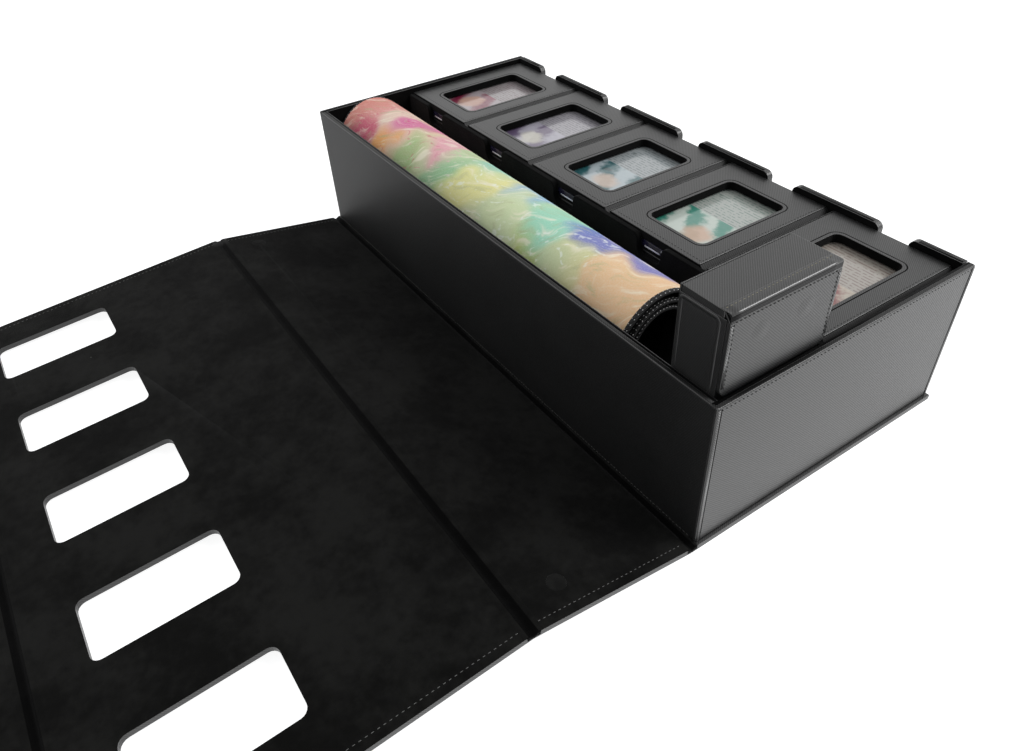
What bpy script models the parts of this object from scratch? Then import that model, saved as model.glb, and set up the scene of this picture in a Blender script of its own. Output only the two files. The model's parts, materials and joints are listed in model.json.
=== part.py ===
"""Card storage case: a long open tray with a fold-over cover that has five windows.

The tray holds five lidded deck boxes in a row behind a divider, and a rolled play mat and a small
accessory box in the channel in front of it. Units are metres and +Z is up. X runs along the tray,
-Y is the side that the cover lies on, and the origin is the centre of the tray's underside.
"""

import math

import bmesh
import bpy
from mathutils import Matrix, Vector

# Clearances and roundings that all pieces share
SEAT_GAP = 0.0003
OVERRUN = 0.002
EDGE_ROUND = 0.0007
EDGE_STEPS = 2
EDGE_ANGLE = math.radians(40)
ARC_STEPS = 5
WELD = 0.00001
FLAT_ANGLE = math.radians(0.5)

# Tray
TRAY_LENGTH = 0.440
TRAY_HEIGHT = 0.0954
WALL = 0.0046
FLOOR_THICKNESS = 0.0025
DIVIDER_THICKNESS = 0.0041
CHANNEL_PLAY = 0.0022
DIVIDER_DROP = 0.0048
NOTCH_WIDTH = 0.0205
NOTCH_DEPTH = 0.0185
NOTCH_TOP_RADIUS = 0.0045
NOTCH_BOTTOM_RADIUS = 0.006

# Cover boards, and the creases between them where only the skin goes across
COVER_BOARD = 0.0035
COVER_OVERHANG = 0.002
REAR_OVERHANG = 0.0015
SKIN = 0.0008
CREASE_CLEARANCE = 0.0001
CREASE_END_GAP = 0.00015
RIDGE_HEIGHT = 0.0145
REAR_PANEL_REACH = 0.0945
BOARD_ROUND = 0.0008
COVER_WINDOW_SIDE_LAP = 0.00275
COVER_WINDOW_FRONT_LEAD = 0.0033
COVER_WINDOW_REAR_LAP = 0.0003
WINDOW_RADIUS = 0.005

# Deck boxes and their lids
DECK_COUNT = 5
DECK_DEPTH = 0.1094
DECK_DROP = 0.0038
DECK_ROW_CLEARANCE = 0.0008
DECK_SWING_GAP = 0.0014
BOX_BOARD = 0.0024
FLAP_BOARD = 0.0022
DECK_WINDOW_SIDE = 0.0188
DECK_WINDOW_FRONT = 0.0158
DECK_WINDOW_REAR = 0.0206
LID_FRAME_THICKNESS = 0.0054
LID_BRIM_THICKNESS = 0.0030
LID_CORE_CLEARANCE = 0.0014
LID_BACK_FLOOR = 0.0018
BAND_RUN = 0.004
BAND_DROP = 0.005
DECK_FLAP_DROP = 0.013

# Display card and its hard sleeve
SLEEVE_SIDE = 0.0088
SLEEVE_REAR = 0.0079
SLEEVE_THICKNESS = 0.0044
CARD_SIDE = 0.00175
CARD_END_LAP = 0.00795
CARD_THICKNESS = 0.0005
CARD_RECESS = 0.0012
CARD_CORNER_RADIUS = 0.003

# Accessory box, which stands raised in the channel
ACCESSORY_WIDTH = 0.0314
ACCESSORY_DEPTH = 0.072
ACCESSORY_LID_THICKNESS = 0.0036
ACCESSORY_FLAP_DROP = 0.047
FLAP_CORNER_RADIUS = 0.005

# Rolled mat
MAT_LENGTH = 0.610
MAT_THICKNESS = 0.0020
MAT_TURN_STEP = 0.0042
MAT_FLAT_TURN_SHARE = 0.75
MAT_SIDE_CLEARANCE = 0.0006
MAT_RAISE = 0.0022
MAT_END_CLEARANCE = 0.0006
MAT_FREE_STRETCH = 0.0435
MAT_STEPS_PER_TURN = 28

# Magnets
MAGNET_RADIUS = 0.005
MAGNET_THICKNESS = 0.0015
MAGNET_SINK = 0.0001
MAGNET_END_INSET = 0.017
FRONT_MAGNET_REACH = 0.076
REAR_MAGNET_REACH = 0.0725
FLAP_MAGNET_RADIUS = 0.004
FLAP_MAGNET_THICKNESS = 0.001
FLAP_MAGNET_DROP = 0.0173
FLAP_MAGNET_SPACING = 0.0297
MAGNET_SIDES = 20

# Places that follow from the sizes above
CHANNEL_WIDTH = ACCESSORY_DEPTH + CHANNEL_PLAY
TRAY_DEPTH = 2 * (WALL + SEAT_GAP) + CHANNEL_WIDTH + DIVIDER_THICKNESS + DECK_DEPTH
HALF_LENGTH = TRAY_LENGTH / 2
HALF_DEPTH = TRAY_DEPTH / 2
RIM = COVER_BOARD + TRAY_HEIGHT
WALL_BOTTOM = COVER_BOARD + SEAT_GAP
FLOOR_TOP = WALL_BOTTOM + FLOOR_THICKNESS
SEAT = FLOOR_TOP + SEAT_GAP
INNER_X = HALF_LENGTH - WALL
DIVIDER_FRONT = -HALF_DEPTH + WALL + CHANNEL_WIDTH
DIVIDER_REAR = DIVIDER_FRONT + DIVIDER_THICKNESS
REAR_INNER = HALF_DEPTH - WALL
CREASE_HALF = COVER_BOARD + CREASE_CLEARANCE
FRONT_AXIS_Y = -HALF_DEPTH - SEAT_GAP - COVER_BOARD
FRONT_REACH = RIM + SEAT_GAP + COVER_BOARD
TOP_REACH = TRAY_DEPTH + 2 * (SEAT_GAP + COVER_BOARD)
FRONT_SLOPE = math.asin(RIDGE_HEIGHT / FRONT_REACH)
TOP_SLOPE = math.asin(RIDGE_HEIGHT / TOP_REACH)

DECK_PITCH = (2 * INNER_X - DECK_ROW_CLEARANCE) / DECK_COUNT
DECK_WIDTH = DECK_PITCH - DECK_SWING_GAP
DECK_HEIGHT = RIM - DECK_DROP - SEAT
DECK_FRONT = DIVIDER_REAR + SEAT_GAP
DECK_WINDOW_WIDTH = DECK_WIDTH - 2 * DECK_WINDOW_SIDE
DECK_WINDOW_LENGTH = DECK_DEPTH - DECK_WINDOW_FRONT - DECK_WINDOW_REAR
COVER_WINDOW_WIDTH = DECK_WINDOW_WIDTH - 2 * COVER_WINDOW_SIDE_LAP
COVER_WINDOW_START = DECK_FRONT + DECK_WINDOW_FRONT - COVER_WINDOW_FRONT_LEAD - FRONT_AXIS_Y
COVER_WINDOW_LENGTH = DECK_WINDOW_LENGTH + COVER_WINDOW_FRONT_LEAD - COVER_WINDOW_REAR_LAP
SLEEVE_WIDTH = DECK_WIDTH - 2 * SLEEVE_SIDE
SLEEVE_LENGTH = DECK_DEPTH - SLEEVE_REAR
CARD_WIDTH = SLEEVE_WIDTH - 2 * CARD_SIDE
CARD_LENGTH = DECK_WINDOW_LENGTH + 2 * CARD_END_LAP
SLEEVE_POCKET = SLEEVE_THICKNESS + 2 * SEAT_GAP
LID_THICKNESS = LID_FRAME_THICKNESS + SEAT_GAP + SLEEVE_POCKET + LID_BACK_FLOOR
LID_LEFT = SKIN + SEAT_GAP

ACCESSORY_RIGHT = INNER_X - SEAT_GAP
ACCESSORY_FRONT = -HALF_DEPTH + WALL + SEAT_GAP
ACCESSORY_HEIGHT = DECK_HEIGHT
ACCESSORY_RAISE = RIM + SEAT_GAP + ACCESSORY_FLAP_DROP - ACCESSORY_HEIGHT - SEAT
MAT_START = -INNER_X + MAT_END_CLEARANCE
MAT_WIDTH = ACCESSORY_RIGHT - ACCESSORY_WIDTH - MAT_FREE_STRETCH - MAT_START
MAT_ROLL_HEIGHT = RIM - SEAT

MATERIALS = {
    "leatherette": ((0.045, 0.044, 0.042), 0.55, 0.0),
    "suede": ((0.012, 0.012, 0.012), 0.95, 0.0),
    "clear_plastic": ((0.55, 0.60, 0.62), 0.12, 0.0),
    "card": ((0.42, 0.52, 0.50), 0.35, 0.0),
    "mat_cloth": ((0.72, 0.62, 0.50), 0.80, 0.0),
    "magnet": ((0.50, 0.50, 0.52), 0.35, 1.0),
}


def clear_scene():
    for obj in list(bpy.data.objects):
        bpy.data.objects.remove(obj, do_unlink=True)


def new_collection(name, hidden=False):
    collection = bpy.data.collections.new(name)
    bpy.context.scene.collection.children.link(collection)
    collection.hide_render = hidden
    return collection


def new_material(name):
    colour, roughness, metallic = MATERIALS[name]
    material = bpy.data.materials.new(name)
    material.use_nodes = True
    shader = material.node_tree.nodes["Principled BSDF"]
    shader.inputs["Base Color"].default_value = (*colour, 1.0)
    shader.inputs["Roughness"].default_value = roughness
    shader.inputs["Metallic"].default_value = metallic
    return material


clear_scene()
parts = new_collection("card_storage_case")
cutters = new_collection("card_storage_case_cutters", hidden=True)
materials = {name: new_material(name) for name in MATERIALS}


# Shared tools


def add_empty(name, place, parent=None, turn_about_x=0.0):
    """An empty on a joint's axis, or at a box's own corner."""
    obj = bpy.data.objects.new(name, None)
    obj.location = place
    obj.rotation_euler.x = turn_about_x
    obj.parent = parent
    parts.objects.link(obj)
    return obj


def add_part(name, mesh, material, parent=None):
    """A part whose mesh is drawn in its parent's frame."""
    obj = bpy.data.objects.new(name, mesh)
    if not mesh.materials:
        mesh.materials.append(materials[material])
    obj.parent = parent
    parts.objects.link(obj)
    return obj


def arc_corner(before, corner, after, radius):
    """Points that round one corner of an outline."""
    back = (Vector(before) - Vector(corner)).normalized()
    ahead = (Vector(after) - Vector(corner)).normalized()
    half_opening = back.angle(ahead) / 2
    setback = radius / math.tan(half_opening)
    centre = Vector(corner) + (back + ahead).normalized() * radius / math.sin(half_opening)
    start = Vector(corner) + back * setback - centre
    end = Vector(corner) + ahead * setback - centre
    first = math.atan2(start.y, start.x)
    sweep = math.remainder(math.atan2(end.y, end.x) - first, math.tau)
    points = []
    for step in range(ARC_STEPS + 1):
        angle = first + sweep * step / ARC_STEPS
        points.append((centre.x + radius * math.cos(angle), centre.y + radius * math.sin(angle)))
    return points


def rounded(corners):
    """An outline from (u, v, radius) corners, which stay sharp where the radius is zero."""
    points = []
    for index, (u, v, radius) in enumerate(corners):
        if radius == 0:
            points.append((u, v))
            continue
        before = corners[index - 1][:2]
        after = corners[(index + 1) % len(corners)][:2]
        points.extend(arc_corner(before, (u, v), after, radius))
    return points


def rectangle(low, high, radius=0.0):
    """A rectangle's outline between two (u, v) corners."""
    (low_u, low_v), (high_u, high_v) = low, high
    return rounded(
        [
            (low_u, low_v, radius),
            (high_u, low_v, radius),
            (high_u, high_v, radius),
            (low_u, high_v, radius),
        ]
    )


def mesh_from(body):
    mesh = bpy.data.meshes.new("shape")
    body.to_mesh(mesh)
    body.free()
    return mesh


def plate(outline, low, high, axes, holes=()):
    """An outline with holes, drawn out from low to high. axes says where u, v and the depth lie."""
    curve = bpy.data.curves.new("outline", "CURVE")
    curve.dimensions = "2D"
    curve.fill_mode = "BOTH"
    curve.extrude = (high - low) / 2
    for points in (outline, *holes):
        spline = curve.splines.new("POLY")
        spline.points.add(len(points) - 1)
        spline.use_cyclic_u = True
        for point, (u, v) in zip(spline.points, points):
            point.co = (u, v, 0.0, 1.0)
    guide = bpy.data.objects.new("outline", curve)
    bpy.context.scene.collection.objects.link(guide)
    graph = bpy.context.evaluated_depsgraph_get()
    filled = bpy.data.meshes.new_from_object(guide.evaluated_get(graph))
    bpy.data.objects.remove(guide, do_unlink=True)
    directions = {"x": (1, 0, 0), "y": (0, 1, 0), "z": (0, 0, 1)}
    turn = Matrix([directions[letter] for letter in axes]).transposed().to_4x4()
    body = bmesh.new()
    body.from_mesh(filled)
    bmesh.ops.translate(body, verts=body.verts, vec=(0, 0, (high + low) / 2))
    bmesh.ops.transform(body, matrix=turn, verts=body.verts)
    bmesh.ops.remove_doubles(body, verts=body.verts, dist=WELD)
    bmesh.ops.dissolve_limit(
        body, angle_limit=FLAT_ANGLE, verts=body.verts, edges=body.edges, delimit={"NORMAL"}
    )
    bmesh.ops.recalc_face_normals(body, faces=body.faces)
    return mesh_from(body)


def block(low, high):
    """A box between two corners."""
    body = bmesh.new()
    bmesh.ops.create_cube(body, size=1.0)
    size = [b - a for a, b in zip(low, high)]
    centre = [(a + b) / 2 for a, b in zip(low, high)]
    bmesh.ops.scale(body, vec=size, verts=body.verts)
    bmesh.ops.translate(body, vec=centre, verts=body.verts)
    return mesh_from(body)


def disc(radius, thickness, centre, axis):
    """A flat cylinder along one axis."""
    turns = {
        "x": Matrix.Rotation(math.pi / 2, 4, "Y"),
        "y": Matrix.Rotation(math.pi / 2, 4, "X"),
        "z": Matrix.Identity(4),
    }
    body = bmesh.new()
    bmesh.ops.create_cone(
        body,
        cap_ends=True,
        segments=MAGNET_SIDES,
        radius1=radius,
        radius2=radius,
        depth=thickness,
        matrix=Matrix.Translation(centre) @ turns[axis],
    )
    mesh = mesh_from(body)
    mesh.shade_smooth()
    mesh.set_sharp_from_angle(angle=EDGE_ANGLE)
    return mesh


def round_edges(obj):
    bevel = obj.modifiers.new("round_edges", "BEVEL")
    bevel.width = EDGE_ROUND
    bevel.segments = EDGE_STEPS
    bevel.limit_method = "ANGLE"
    bevel.angle_limit = EDGE_ANGLE


def use_cutter(obj, mesh, name, operation="DIFFERENCE"):
    """A Boolean with a hidden cutter that is drawn in the same frame as the object."""
    cutter = bpy.data.objects.new(name, mesh)
    cutter.parent = obj.parent
    cutter.display_type = "WIRE"
    cutter.hide_render = True
    cutters.objects.link(cutter)
    boolean = obj.modifiers.new(name, "BOOLEAN")
    boolean.operation = operation
    boolean.solver = "EXACT"
    boolean.object = cutter


def set_magnet(name, holder, face_point, outward, radius, thickness):
    """Sinks a disc magnet into a holder's face and cuts its pocket. outward is a signed axis."""
    sign = 1 if outward[0] == "+" else -1
    axis = outward[1]
    way = Vector([sign * (letter == axis) for letter in "xyz"])
    point = Vector(face_point)
    add_part(name, disc(radius, thickness, point - way * (MAGNET_SINK + thickness / 2), axis),
             "magnet", holder.parent)
    depth = MAGNET_SINK + thickness + SEAT_GAP
    centre = point + way * (OVERRUN - depth) / 2
    pocket = disc(radius + SEAT_GAP, depth + OVERRUN, centre, axis)
    use_cutter(holder, pocket, name + "_pocket")


# Tray


def deck_left(index):
    return -INNER_X + DECK_ROW_CLEARANCE + index * DECK_PITCH


def window_centre(index):
    return deck_left(index) + DECK_WIDTH / 2


def notched_outline(low, high):
    """A wall's outline between two (x, z) corners, with a finger notch at each deck box."""
    (low_x, low_z), (high_x, high_z) = low, high
    bottom = RIM - NOTCH_DEPTH
    corners = [(low_x, low_z, 0), (high_x, low_z, 0), (high_x, high_z, 0)]
    for index in reversed(range(DECK_COUNT)):
        right = window_centre(index) + NOTCH_WIDTH / 2
        left = window_centre(index) - NOTCH_WIDTH / 2
        corners += [
            (right, high_z, NOTCH_TOP_RADIUS),
            (right, bottom, NOTCH_BOTTOM_RADIUS),
            (left, bottom, NOTCH_BOTTOM_RADIUS),
            (left, high_z, NOTCH_TOP_RADIUS),
        ]
    corners.append((low_x, high_z, 0))
    return rounded(corners)


def build_tray():
    """The base board, floor, four walls and divider. Returns the front and rear walls."""
    base_x = HALF_LENGTH + COVER_OVERHANG
    crease_edge = FRONT_AXIS_Y + CREASE_HALF
    base = [
        (FRONT_AXIS_Y + CREASE_END_GAP, 0, 0),
        (HALF_DEPTH + REAR_OVERHANG, 0, BOARD_ROUND),
        (HALF_DEPTH + REAR_OVERHANG, COVER_BOARD, BOARD_ROUND),
        (crease_edge, COVER_BOARD, 0),
        (crease_edge, SKIN, 0),
        (FRONT_AXIS_Y + CREASE_END_GAP + SKIN, SKIN, 0),
    ]
    add_part("base_panel", plate(rounded(base), -base_x, base_x, "yzx"), "leatherette")

    inner = INNER_X - SEAT_GAP
    for name, side in (("left_end_wall", -1), ("right_end_wall", 1)):
        low_x, high_x = sorted((side * HALF_LENGTH, side * INNER_X))
        mesh = block((low_x, -HALF_DEPTH, WALL_BOTTOM), (high_x, HALF_DEPTH, RIM))
        round_edges(add_part(name, mesh, "leatherette"))

    front = add_part(
        "front_wall",
        block((-inner, -HALF_DEPTH, WALL_BOTTOM), (inner, -HALF_DEPTH + WALL, RIM)),
        "leatherette",
    )
    rear_outline = notched_outline((-inner, WALL_BOTTOM), (inner, RIM))
    rear = add_part("rear_wall", plate(rear_outline, REAR_INNER, HALF_DEPTH, "xzy"), "leatherette")
    divider_outline = notched_outline((-inner, SEAT), (inner, RIM - DIVIDER_DROP))
    divider = plate(divider_outline, DIVIDER_FRONT, DIVIDER_REAR, "xzy")
    round_edges(add_part("divider_wall", divider, "suede"))

    floor_y = REAR_INNER - SEAT_GAP
    floor = block((-inner, -floor_y, WALL_BOTTOM), (inner, floor_y, FLOOR_TOP))
    add_part("tray_floor", floor, "suede")
    return front, rear


# Fold-over cover


def crease_edge_points(reach, far):
    """The mitred skin at one end of a board: at the fold axis, or at its far fold."""
    sign = 1 if far else -1
    end = -reach if far else 0
    return [
        (end + sign * CREASE_END_GAP, 0, 0),
        (end + sign * (CREASE_END_GAP + SKIN), SKIN, 0),
        (end + sign * CREASE_HALF, SKIN, 0),
        (end + sign * CREASE_HALF, COVER_BOARD, BOARD_ROUND),
    ]


def panel_outline(reach):
    return rounded(crease_edge_points(reach, False) + crease_edge_points(reach, True)[::-1])


def build_cover():
    """Three boards, each drawn flat in its own fold's frame, running towards -Y."""
    half_span = HALF_LENGTH + COVER_OVERHANG
    front_fold = add_empty("front_fold", (0, FRONT_AXIS_Y, 0), None, -FRONT_SLOPE)
    front = add_part(
        "cover_front_panel",
        plate(panel_outline(FRONT_REACH), -half_span, half_span, "yzx"),
        "leatherette",
        front_fold,
    )

    top_fold = add_empty("top_fold", (0, -FRONT_REACH, 0), front_fold, FRONT_SLOPE + TOP_SLOPE)
    top = add_part(
        "cover_top_panel",
        plate(panel_outline(TOP_REACH), -half_span, half_span, "yzx"),
        "leatherette",
        top_fold,
    )
    window_end = COVER_WINDOW_START + COVER_WINDOW_LENGTH
    for index in range(DECK_COUNT):
        low_x = window_centre(index) - COVER_WINDOW_WIDTH / 2
        outline = rectangle(
            (low_x, -window_end), (low_x + COVER_WINDOW_WIDTH, -COVER_WINDOW_START), WINDOW_RADIUS
        )
        window = plate(outline, -OVERRUN, COVER_BOARD + OVERRUN, "xyz")
        use_cutter(top, window, f"cover_window_{index + 1}")

    rear_fold = add_empty("rear_fold", (0, -TOP_REACH, 0), top_fold, -TOP_SLOPE)
    rear_corners = crease_edge_points(REAR_PANEL_REACH, False) + [
        (-REAR_PANEL_REACH, COVER_BOARD, BOARD_ROUND),
        (-REAR_PANEL_REACH, 0, BOARD_ROUND),
    ]
    rear = add_part(
        "cover_rear_panel",
        plate(rounded(rear_corners), -half_span, half_span, "yzx"),
        "leatherette",
        rear_fold,
    )
    return front, rear


def add_closure_magnets(front_wall, rear_wall, front_panel, rear_panel):
    """Pairs near both ends, which meet when the cover is wrapped round the tray."""
    for side, sign in (("left", -1), ("right", 1)):
        x = sign * (HALF_LENGTH - MAGNET_END_INSET)
        sets = (
            ("front_wall_magnet", front_wall, (x, -HALF_DEPTH, FRONT_MAGNET_REACH), "-y"),
            ("front_panel_magnet", front_panel, (x, -FRONT_MAGNET_REACH, COVER_BOARD), "+z"),
            ("rear_wall_magnet", rear_wall, (x, HALF_DEPTH, FRONT_REACH - REAR_MAGNET_REACH), "+y"),
            ("rear_panel_magnet", rear_panel, (x, -REAR_MAGNET_REACH, COVER_BOARD), "+z"),
        )
        for name, holder, point, outward in sets:
            set_magnet(f"{name}_{side}", holder, point, outward, MAGNET_RADIUS, MAGNET_THICKNESS)


# Boxes with a lid that swings on the left edge and closes with a flap on the right


def flap_outline(drop):
    """A flap's section in its lid's frame, from the crease: a thin slanting band, then a board."""
    band = Vector((BAND_RUN, -BAND_DROP)).normalized()
    inward = Vector((band.y, -band.x)) * SKIN
    inner_x = BAND_RUN - FLAP_BOARD
    inner_top_z = inward.y + (inner_x - inward.x) * band.y / band.x
    crease_z = inward.y + (CREASE_END_GAP - inward.x) * band.y / band.x
    outer_z = CREASE_END_GAP * band.y / band.x
    return [
        (CREASE_END_GAP, outer_z),
        (CREASE_END_GAP, crease_z),
        (inner_x, inner_top_z),
        (inner_x, -drop),
        (BAND_RUN, -drop),
        (BAND_RUN, -BAND_DROP),
    ]


def box_sizes(width):
    """The x places of a box's right wall and crease."""
    wall_right = width - FLAP_BOARD - SEAT_GAP
    return wall_right - BOX_BOARD, wall_right, width - BAND_RUN


def open_box(name, size, wall_top, right_top, parent):
    """An open box whose left skin goes up to the lid's hinge. Heights are measured down."""
    width, depth, height = size
    inner_right, wall_right, _ = box_sizes(width)
    body = add_part(name, block((0, 0, 0), (wall_right, depth, height)), "leatherette", parent)
    over = height + OVERRUN
    hollow = block(
        (BOX_BOARD, BOX_BOARD, BOX_BOARD), (inner_right, depth - BOX_BOARD, over)
    )
    use_cutter(body, hollow, name + "_hollow")
    lid_room = block((SKIN, -OVERRUN, height - wall_top), (inner_right, depth + OVERRUN, over))
    use_cutter(body, lid_room, name + "_lid_room")
    brim_room = block(
        (inner_right - OVERRUN, -OVERRUN, height - right_top),
        (wall_right + OVERRUN, depth + OVERRUN, over),
    )
    use_cutter(body, brim_room, name + "_brim_room")
    return body


def build_deck_box(index):
    """Box body, lid frame with window, lid back with the card slot, sleeve, card and flap."""
    name = f"deck_box_{index + 1}"
    corner = add_empty(name, (deck_left(index), DECK_FRONT, SEAT))
    size = (DECK_WIDTH, DECK_DEPTH, DECK_HEIGHT)
    inner_right, _, crease = box_sizes(DECK_WIDTH)
    right_top = LID_BRIM_THICKNESS + 2 * SEAT_GAP
    open_box(name + "_body", size, LID_THICKNESS + SEAT_GAP, right_top, corner)

    hinge = add_empty(name + "_lid_hinge", (0, 0, DECK_HEIGHT), corner)
    core_right = inner_right - LID_CORE_CLEARANCE
    frame_outline = [
        (LID_LEFT, 0),
        (LID_LEFT, -LID_FRAME_THICKNESS),
        (core_right, -LID_FRAME_THICKNESS),
        (core_right, -LID_BRIM_THICKNESS),
        (crease - CREASE_END_GAP, -LID_BRIM_THICKNESS),
        (crease - CREASE_END_GAP, 0),
    ]
    frame = add_part(
        name + "_lid_frame", plate(frame_outline, 0, DECK_DEPTH, "xzy"), "leatherette", hinge
    )
    centre = DECK_WIDTH / 2
    low = (centre - DECK_WINDOW_WIDTH / 2, DECK_WINDOW_FRONT)
    high = (centre + DECK_WINDOW_WIDTH / 2, DECK_WINDOW_FRONT + DECK_WINDOW_LENGTH)
    window = plate(
        rectangle(low, high, WINDOW_RADIUS), -LID_FRAME_THICKNESS - OVERRUN, OVERRUN, "xyz"
    )
    use_cutter(frame, window, name + "_window")

    slot_floor = -LID_THICKNESS + LID_BACK_FLOOR
    back_top = -LID_FRAME_THICKNESS - SEAT_GAP
    back_mesh = block((LID_LEFT, 0, -LID_THICKNESS), (core_right, DECK_DEPTH, back_top))
    back = add_part(name + "_lid_back", back_mesh, "leatherette", hinge)
    slot_half = SLEEVE_WIDTH / 2 + SEAT_GAP
    slot = block(
        (centre - slot_half, -OVERRUN, slot_floor),
        (centre + slot_half, SLEEVE_LENGTH + 2 * SEAT_GAP, back_top + OVERRUN),
    )
    use_cutter(back, slot, name + "_card_slot")

    sleeve_low = slot_floor + SEAT_GAP
    sleeve_top = sleeve_low + SLEEVE_THICKNESS
    sleeve = add_part(
        name + "_card_sleeve",
        block(
            (centre - SLEEVE_WIDTH / 2, SEAT_GAP, sleeve_low),
            (centre + SLEEVE_WIDTH / 2, SEAT_GAP + SLEEVE_LENGTH, sleeve_top),
        ),
        "clear_plastic",
        hinge,
    )
    window_middle = DECK_WINDOW_FRONT + DECK_WINDOW_LENGTH / 2
    card_low = (centre - CARD_WIDTH / 2, window_middle - CARD_LENGTH / 2)
    card_high = (centre + CARD_WIDTH / 2, window_middle + CARD_LENGTH / 2)
    recess = rectangle(
        [value - SEAT_GAP for value in card_low],
        [value + SEAT_GAP for value in card_high],
        CARD_CORNER_RADIUS,
    )
    recess_floor = sleeve_top - CARD_RECESS
    use_cutter(
        sleeve, plate(recess, recess_floor, sleeve_top + OVERRUN, "xyz"), name + "_card_recess"
    )
    card_floor = recess_floor + SEAT_GAP
    card_outline = rectangle(card_low, card_high, CARD_CORNER_RADIUS)
    card = plate(card_outline, card_floor, card_floor + CARD_THICKNESS, "xyz")
    add_part(name + "_display_card", card, "card", hinge)

    crease_axis = add_empty(name + "_flap_crease", (crease, 0, 0), hinge)
    flap = plate(flap_outline(DECK_FLAP_DROP), 0, DECK_DEPTH, "xzy")
    add_part(name + "_flap", flap, "leatherette", crease_axis)


def build_accessory_box():
    """A narrow box that stands raised in the channel, with a long magnetic flap."""
    name = "accessory_box"
    corner = add_empty(
        name, (ACCESSORY_RIGHT - ACCESSORY_WIDTH, ACCESSORY_FRONT, SEAT + ACCESSORY_RAISE)
    )
    size = (ACCESSORY_WIDTH, ACCESSORY_DEPTH, ACCESSORY_HEIGHT)
    _, wall_right, crease = box_sizes(ACCESSORY_WIDTH)
    top_room = ACCESSORY_LID_THICKNESS + SEAT_GAP
    body = open_box(name + "_body", size, top_room, top_room, corner)

    hinge = add_empty(name + "_lid_hinge", (0, 0, ACCESSORY_HEIGHT), corner)
    lid = block(
        (LID_LEFT, 0, -ACCESSORY_LID_THICKNESS), (crease - CREASE_END_GAP, ACCESSORY_DEPTH, 0)
    )
    add_part(name + "_lid", lid, "leatherette", hinge)

    crease_axis = add_empty(name + "_flap_crease", (crease, 0, 0), hinge)
    flap_mesh = plate(flap_outline(ACCESSORY_FLAP_DROP), 0, ACCESSORY_DEPTH, "xzy")
    flap = add_part(name + "_flap", flap_mesh, "leatherette", crease_axis)
    face = rounded(
        [
            (0, -ACCESSORY_FLAP_DROP, FLAP_CORNER_RADIUS),
            (ACCESSORY_DEPTH, -ACCESSORY_FLAP_DROP, FLAP_CORNER_RADIUS),
            (ACCESSORY_DEPTH, OVERRUN, 0),
            (0, OVERRUN, 0),
        ]
    )
    blank = plate(face, -OVERRUN, BAND_RUN + OVERRUN, "yzx")
    use_cutter(flap, blank, name + "_flap_corners", "INTERSECT")

    for side, sign in (("front", -1), ("rear", 1)):
        y = ACCESSORY_DEPTH / 2 + sign * FLAP_MAGNET_SPACING / 2
        sizes = (FLAP_MAGNET_RADIUS, FLAP_MAGNET_THICKNESS)
        flap_point = (BAND_RUN - FLAP_BOARD, y, -FLAP_MAGNET_DROP)
        set_magnet(f"accessory_flap_magnet_{side}", flap, flap_point, "-x", *sizes)
        body_point = (wall_right, y, ACCESSORY_HEIGHT - FLAP_MAGNET_DROP)
        set_magnet(f"accessory_body_magnet_{side}", body, body_point, "+x", *sizes)


# Rolled mat


def spiral_outline():
    """The section of the mat, wound as a flattened spiral whose middle line has the mat's length."""
    half_width = CHANNEL_WIDTH / 2 - MAT_SIDE_CLEARANCE - MAT_THICKNESS / 2
    half_height = (MAT_ROLL_HEIGHT - MAT_THICKNESS) / 2
    centre_y = -HALF_DEPTH + WALL + CHANNEL_WIDTH / 2
    centre_z = SEAT + MAT_RAISE + MAT_ROLL_HEIGHT / 2
    step = math.tau / MAT_STEPS_PER_TURN

    def middle(angle):
        turns = angle / math.tau
        step_in = (turns - MAT_FLAT_TURN_SHARE) / (1 - MAT_FLAT_TURN_SHARE)
        shrink = MAT_TURN_STEP * max(min(step_in, 1), turns * (turns > 1), 0)
        return Vector(
            (
                centre_y + (half_width - shrink) * math.sin(angle),
                centre_z - (half_height - shrink) * math.cos(angle),
            )
        )

    points = [middle(0)]
    wound = 0
    while wound < MAT_LENGTH:
        ahead = middle(len(points) * step)
        stretch = (ahead - points[-1]).length
        reach = min(1, (MAT_LENGTH - wound) / stretch)
        points.append(points[-1].lerp(ahead, reach))
        wound += stretch
    outer = []
    inner = []
    for index, point in enumerate(points):
        before = points[max(index - 1, 0)]
        after = points[min(index + 1, len(points) - 1)]
        along = (after - before).normalized()
        side = Vector((along.y, -along.x)) * MAT_THICKNESS / 2
        outer.append(tuple(point + side))
        inner.append(tuple(point - side))
    return outer + inner[::-1]


def build_mat():
    end = MAT_START + MAT_WIDTH
    add_part("rolled_mat", plate(spiral_outline(), MAT_START, end, "yzx"), "mat_cloth")


def main():
    front_wall, rear_wall = build_tray()
    front_panel, rear_panel = build_cover()
    add_closure_magnets(front_wall, rear_wall, front_panel, rear_panel)
    for index in range(DECK_COUNT):
        build_deck_box(index)
    build_accessory_box()
    build_mat()


main()
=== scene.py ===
import json
import math

import bmesh
import bpy
from mathutils import Matrix, Vector


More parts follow.
